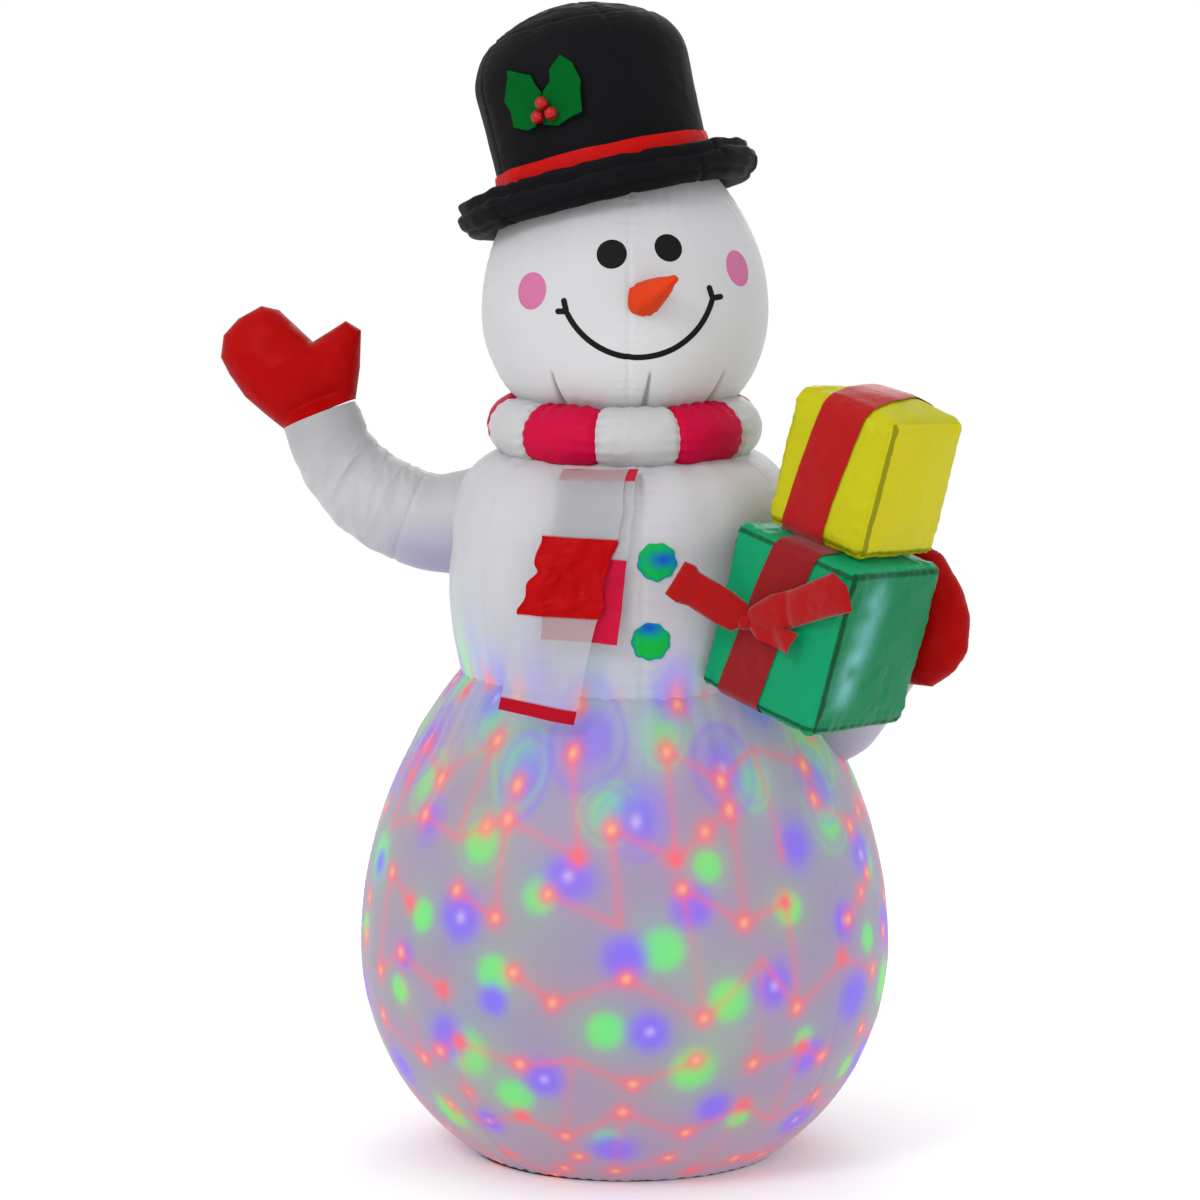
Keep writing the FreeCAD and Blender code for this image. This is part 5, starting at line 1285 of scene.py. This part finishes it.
points, faces, axes, sides, gaps = gift(GREEN_SIZE, 84, 0.024, 101, 0.007)
colours = gift_shade(points, axes, sides, gaps, 1.0, rgb(0, 142, 92), rgb(0, 118, 72), rgb(0, 70, 40))
# Painted highlight: a pale blue glowing streak down the present's right face.
highlight_y = -0.095 + 0.14 * points[:, 2]
painted_highlight = np.exp(-(((points[:, 1] - highlight_y) / 0.030) ** 2))
painted_highlight = painted_highlight * smooth(0.02, 0.10, points[:, 2]) * smooth(0.345, 0.27, points[:, 2])
painted_highlight = painted_highlight * ((axes == 0) & (sides > 0)) * (0.65 + 0.5 * noise(points, 0.03, 105))
light = np.outer(painted_highlight * 0.42, rgb(170, 215, 255)) + colours * 0.10
green_piece = build("green_gift_cloth", place(points, STACK), faces, green_cloth, paint=colours, light=light)
declare("green_present")

points, faces, axes, sides, gaps = gift(YELLOW_SIZE, 72, 0.026, 111, 0.010)
points[:, 2] += 0.012 * (axes == 2) * (sides > 0) * smooth(0, 0.09, gaps.min(1))
colours = gift_shade(points, axes, sides, gaps, 0.14, rgb(184, 180, 10), rgb(196, 187, 6), rgb(134, 130, 8))
points, light = place(points, YELLOW), colours * 0.06
yellow_piece = build("yellow_gift_cloth", points, faces, yellow_cloth, paint=colours, light=light)
declare("yellow_present")


def loop_line(size, radius, lift, count):
    """A rounded rectangle round a box on z 0, from the top's middle over the front: y, z and its length."""
    hy, hz, mid = size[1] / 2 + lift, size[2] / 2 + lift, size[2] / 2
    corners = [(-1, 1), (-1, -1), (1, -1), (1, 1)]
    path = [(0.0, hz + mid)]
    for sy, sz in corners:
        cy, cz = sy * (hy - radius), mid + sz * (hz - radius)
        start = math.atan2(sz, sy) - math.radians(45)
        for t in np.linspace(0, math.pi / 2, 12):
            path.append((cy + radius * math.cos(start + t), cz + radius * math.sin(start + t)))
    path.append((0.0, hz + mid))
    path = np.array(path)
    steps = np.concatenate([[0], np.cumsum(np.linalg.norm(np.diff(path, axis=0), axis=1))])
    s = np.linspace(0, steps[-1], count)
    return np.interp(s, steps, path[:, 0]), np.interp(s, steps, path[:, 1]), steps[-1]


def wrapping(name, size, round_r, puff, crown, seed, matrix, low_x, high_x, width, material):
    """A ribbon sewn round a present and following its dents, from low_x at its foot to high_x at its top."""
    rows, columns = 420, 26
    y, z, length = loop_line(size, round_r - 0.0012, -0.0012, rows)
    middle = size[2] / 2
    tall = np.clip(z / size[2], 0, 1)
    front = smooth(0.05, -0.05, y)
    line = low_x + (high_x - low_x) * tall * front + (high_x - low_x) * 0.5 * (1 - front)
    u = np.linspace(-0.5, 0.5, columns)[None]
    x = line[:, None] + width * u
    normal = np.stack([np.gradient(z), -np.gradient(y)], -1)
    normal /= np.linalg.norm(normal, axis=1)[:, None]
    normal *= np.sign(normal[:, :1] * y[:, None] + normal[:, 1:] * (z - middle)[:, None])
    spot = np.stack([x, np.repeat(y[:, None], columns, 1), np.repeat(z[:, None] - middle, columns, 1)], -1)
    share = np.minimum(np.abs(y) / (size[1] / 2), np.abs(z - middle) / middle)[:, None]
    relief = puff * (1 - np.minimum(share, 1) ** 2) * (1 - (2 * x / size[0]) ** 2)
    relief = relief + 0.0030 * noise(spot, 0.12, seed + 4) + 0.0009 * creases(spot, 0.06, seed + 3)
    relief = relief + 0.0012 * (1 - np.abs(2 * u) ** 8)
    top = (z > size[2] - 0.003)[:, None] * smooth(0, 0.09, size[1] / 2 - np.abs(y))[:, None]
    high = z[:, None] + normal[:, None, 1] * relief + crown * top
    points = np.stack([x, spot[..., 1] + normal[:, None, 0] * relief, high], -1)
    piece = build(name + "_gift_ribbon", place(points, matrix), grid_faces(rows, columns, False), material)
    declare(name + "_ribbon")


wrapping("green", GREEN_SIZE, 0.024, 0.007, 0.0, 101, STACK, -0.049, 0.006, 0.106, ribbon_dark)
wrapping("yellow", YELLOW_SIZE, 0.026, 0.010, 0.012, 111, YELLOW, -0.026, 0.008, 0.104, ribbon_bright)


# ---------------------------------------------------------------- bow

KNOT = np.array([0.236, -0.478, 1.143])


def bow_loop(tip, across, outline, fullness, crease_at, seed):
    """A flat loop of strap from the knot to tip, with a fold across it."""
    along = np.array(tip) - KNOT
    length = np.linalg.norm(along)
    along /= length
    across = np.array(across, float)
    across -= along * (across @ along)
    across /= np.linalg.norm(across)
    face = np.cross(along, across)
    if face[1] > 0:
        face = -face
    outline = np.array(outline, float) * np.array([length, 0.001])

    def shape(x, y, height, side):
        spot = np.stack([x, y, side * height], -1)
        thick = height + 0.0012 * creases(spot, 0.035, seed)
        past = x - crease_at * length - 0.25 * y
        sag = 0.007 * np.abs(past / length) - 0.004 * bump(past, 0.010)
        flutes = 0.004 * np.sin(y / 0.011) * np.exp(-x / 0.035)
        off = side * thick + (sag + flutes)
        return KNOT + np.outer(x, along) + np.outer(y, across) + np.outer(off, face)

    return inflated(outline, 0.004, fullness, shape)


LEFT_LOOP = [
    (0.0, -13), (0.10, -32), (0.36, -35), (0.70, -34), (0.84, -40), (1.0, -37),
    (1.0, 37), (0.86, 41), (0.78, 34), (0.36, 36), (0.10, 31), (0.0, 13),
]
RIGHT_LOOP = [
    (0.0, -13), (0.12, -34), (0.30, -38), (0.72, -37), (1.0, -40), (1.02, 10),
    (0.93, 42), (0.52, 34), (0.30, 36), (0.10, 26), (0.0, 13),
]
loops = [
    bow_loop((0.096, -0.502, 1.230), (0.5, 0, 0.8), LEFT_LOOP, 0.30, 0.72, 131),
    bow_loop((0.418, -0.656, 1.212), (-0.2, 0, 1), RIGHT_LOOP, 0.34, 0.42, 135),
]
loops_piece = build("bow_loop_cloth", *joined(loops), bow_cloth)
declare("bow_loops")

knot_low, knot_high = (np.array(v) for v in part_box("bow_knot"))
half = (knot_high - knot_low) / 2
points = sphere(50, 70, 0.02)
points = np.sign(points) * np.abs(points) ** 0.8
points = points * (1 + 0.06 * creases(points, (0.35, 0.35, 1.6), 141))[..., None]
points = (knot_low + knot_high) / 2 + points * half * 0.96
knot_piece = build("bow_knot_cloth", points, grid_faces(50, 70, True), bow_cloth)
declare("bow_knot")

TAIL_TIP = np.array([0.320, -0.572, 1.106])
along = TAIL_TIP - KNOT
reach = np.linalg.norm(along)
along /= reach
across = np.array([0.3, 0.0, 0.9])
across -= along * (across @ along)
across /= np.linalg.norm(across)
face = np.cross(along, across)
s, u = np.meshgrid(np.linspace(0.010, reach, 60), np.linspace(-0.5, 0.5, 24), indexing="ij")
wide = 0.020 + 0.022 * smooth(0.0, 0.05, s)
off = 0.004 * np.sin(s / 0.014 + 4 * u) + 0.004 * (1 - 4 * u**2)
points = KNOT + s[..., None] * along + (u * wide)[..., None] * across + off[..., None] * face
tail_piece = build("bow_tail_cloth", points, grid_faces(60, 24, False), bow_cloth)
declare("bow_tail")


# ---------------------------------------------------------------- hard parts, from the CAD nodes

CLOTH = {"rough": 0.55, "sheen": 0.2, "gloss": 0.25}
FINISHES = [
    (fabric("panel_black", rgb(34, 34, 38), crinkle=0.5, **CLOTH), ["floor_panel", "blower_collar"]),
    (
        fabric("webbing_black", rgb(26, 26, 28), 0.75, 0.2, 0.5, 0.01, 1.0, gloss=0.25),
        ["tether_tabs", "stake_straps", "collar_strap"],
    ),
    (hard("plastic_black", rgb(28, 28, 30), 0.42), ["blower_duct", "intake_grille", "lamp_holders"]),
    (hard("plastic_fan", rgb(60, 62, 66), 0.38), ["fan_impeller", "blower_stator"]),
    (hard("plastic_white", rgb(225, 225, 222), 0.35), ["projector_plate", "projector_housing"]),
    (hard("board_green", rgb(20, 92, 52), 0.35), ["led_board"]),
    (hard("lens_clear", rgb(235, 240, 245), 0.06, clear=0.85), ["lens_dome"]),
    (hard("emitter", rgb(255, 240, 225), 0.3, shine=2.0), ["rgb_emitters"]),
    (hard("bulb_glass", rgb(245, 240, 225), 0.1, shine=1.0), ["lamp_bulbs"]),
    (hard("rubber_black", rgb(22, 22, 22), 0.7), ["lead_gland"]),
    (
        hard("steel_zinc", rgb(176, 178, 180), 0.32, metal=1.0),
        ["grille_screws", "tether_ring_left", "tether_ring_back", "tether_ring_right"],
    ),
    (hard("steel_motor", rgb(150, 152, 156), 0.4, metal=1.0), ["blower_motor", "lens_motor"]),
    (hard("steel_shaft", rgb(190, 190, 192), 0.22, metal=1.0), ["fan_shaft", "lens_shaft"]),
    (hard("brass", rgb(196, 160, 84), 0.3, metal=1.0), ["stake_eyelets"]),
    (
        fabric("tape_white", rgb(205, 205, 208), 0.7, 0.2, 0.5, 0.01, 1.0, gloss=0.25),
        ["zip_tape", "lamp_ribbon"],
    ),
    (hard("coil_white", rgb(214, 214, 214), 0.4), ["zip_coil", "zip_stops"]),
    (hard("slider_white", rgb(200, 200, 202), 0.3, metal=1.0), ["zip_slider", "zip_pull"]),
]
for material, names in FINISHES:
    for name in names:
        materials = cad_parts[name].data.materials
        materials.clear()
        materials.append(material)


# ---------------------------------------------------------------- floor, light and camera


def stage_light(name, spot, aim, size, power):
    """A white disc of light at spot that faces aim."""
    lamp = bpy.data.lights.new(name, "AREA")
    lamp.shape, lamp.size, lamp.energy = "DISK", size, power
    obj = bpy.data.objects.new(name, lamp)
    obj.location = spot
    obj.rotation_mode = "QUATERNION"
    obj.rotation_quaternion = (Vector(aim) - Vector(spot)).to_track_quat("-Z", "Y")
    bpy.context.scene.collection.objects.link(obj)


bpy.ops.mesh.primitive_circle_add(vertices=96, radius=14, fill_type="NGON", location=(0, 0, -0.001))
floor = bpy.context.active_object
floor.name = "floor"
floor.data.materials.append(hard("floor_pale", (1, 1, 1), rough=0.9, grain=4.0, depth=0.0))
floor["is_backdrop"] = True

world = bpy.data.worlds.new("studio")
bpy.context.scene.world = world
world.use_nodes = True
world.node_tree.nodes["Background"].inputs["Color"].default_value = (1, 1, 1, 1)
world.node_tree.nodes["Background"].inputs["Strength"].default_value = 1.0
stage_light("key", (-2.6, -4.2, 4.2), (0, 0, 1.2), 2.0, 105)
stage_light("fill", (3.6, -3.4, 2.0), (0, 0, 1.1), 2.6, 18)
stage_light("rim", (0.5, 4.0, 3.4), (0, 0, 1.3), 2.6, 40)

camera_data = bpy.data.cameras.new("camera")
camera = bpy.data.objects.new("camera", camera_data)
bpy.context.scene.collection.objects.link(camera)
camera.location = (0, -6.0, 1.5)
camera.rotation_mode = "QUATERNION"
camera.rotation_quaternion = (Vector((-0.0526, 0, 1.1576)) - camera.location).to_track_quat("-Z", "Y")
camera_data.lens, camera_data.sensor_width = 85.5, 36
bpy.context.scene.camera = camera
bpy.context.scene.view_settings.view_transform = "Standard"

low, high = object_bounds()
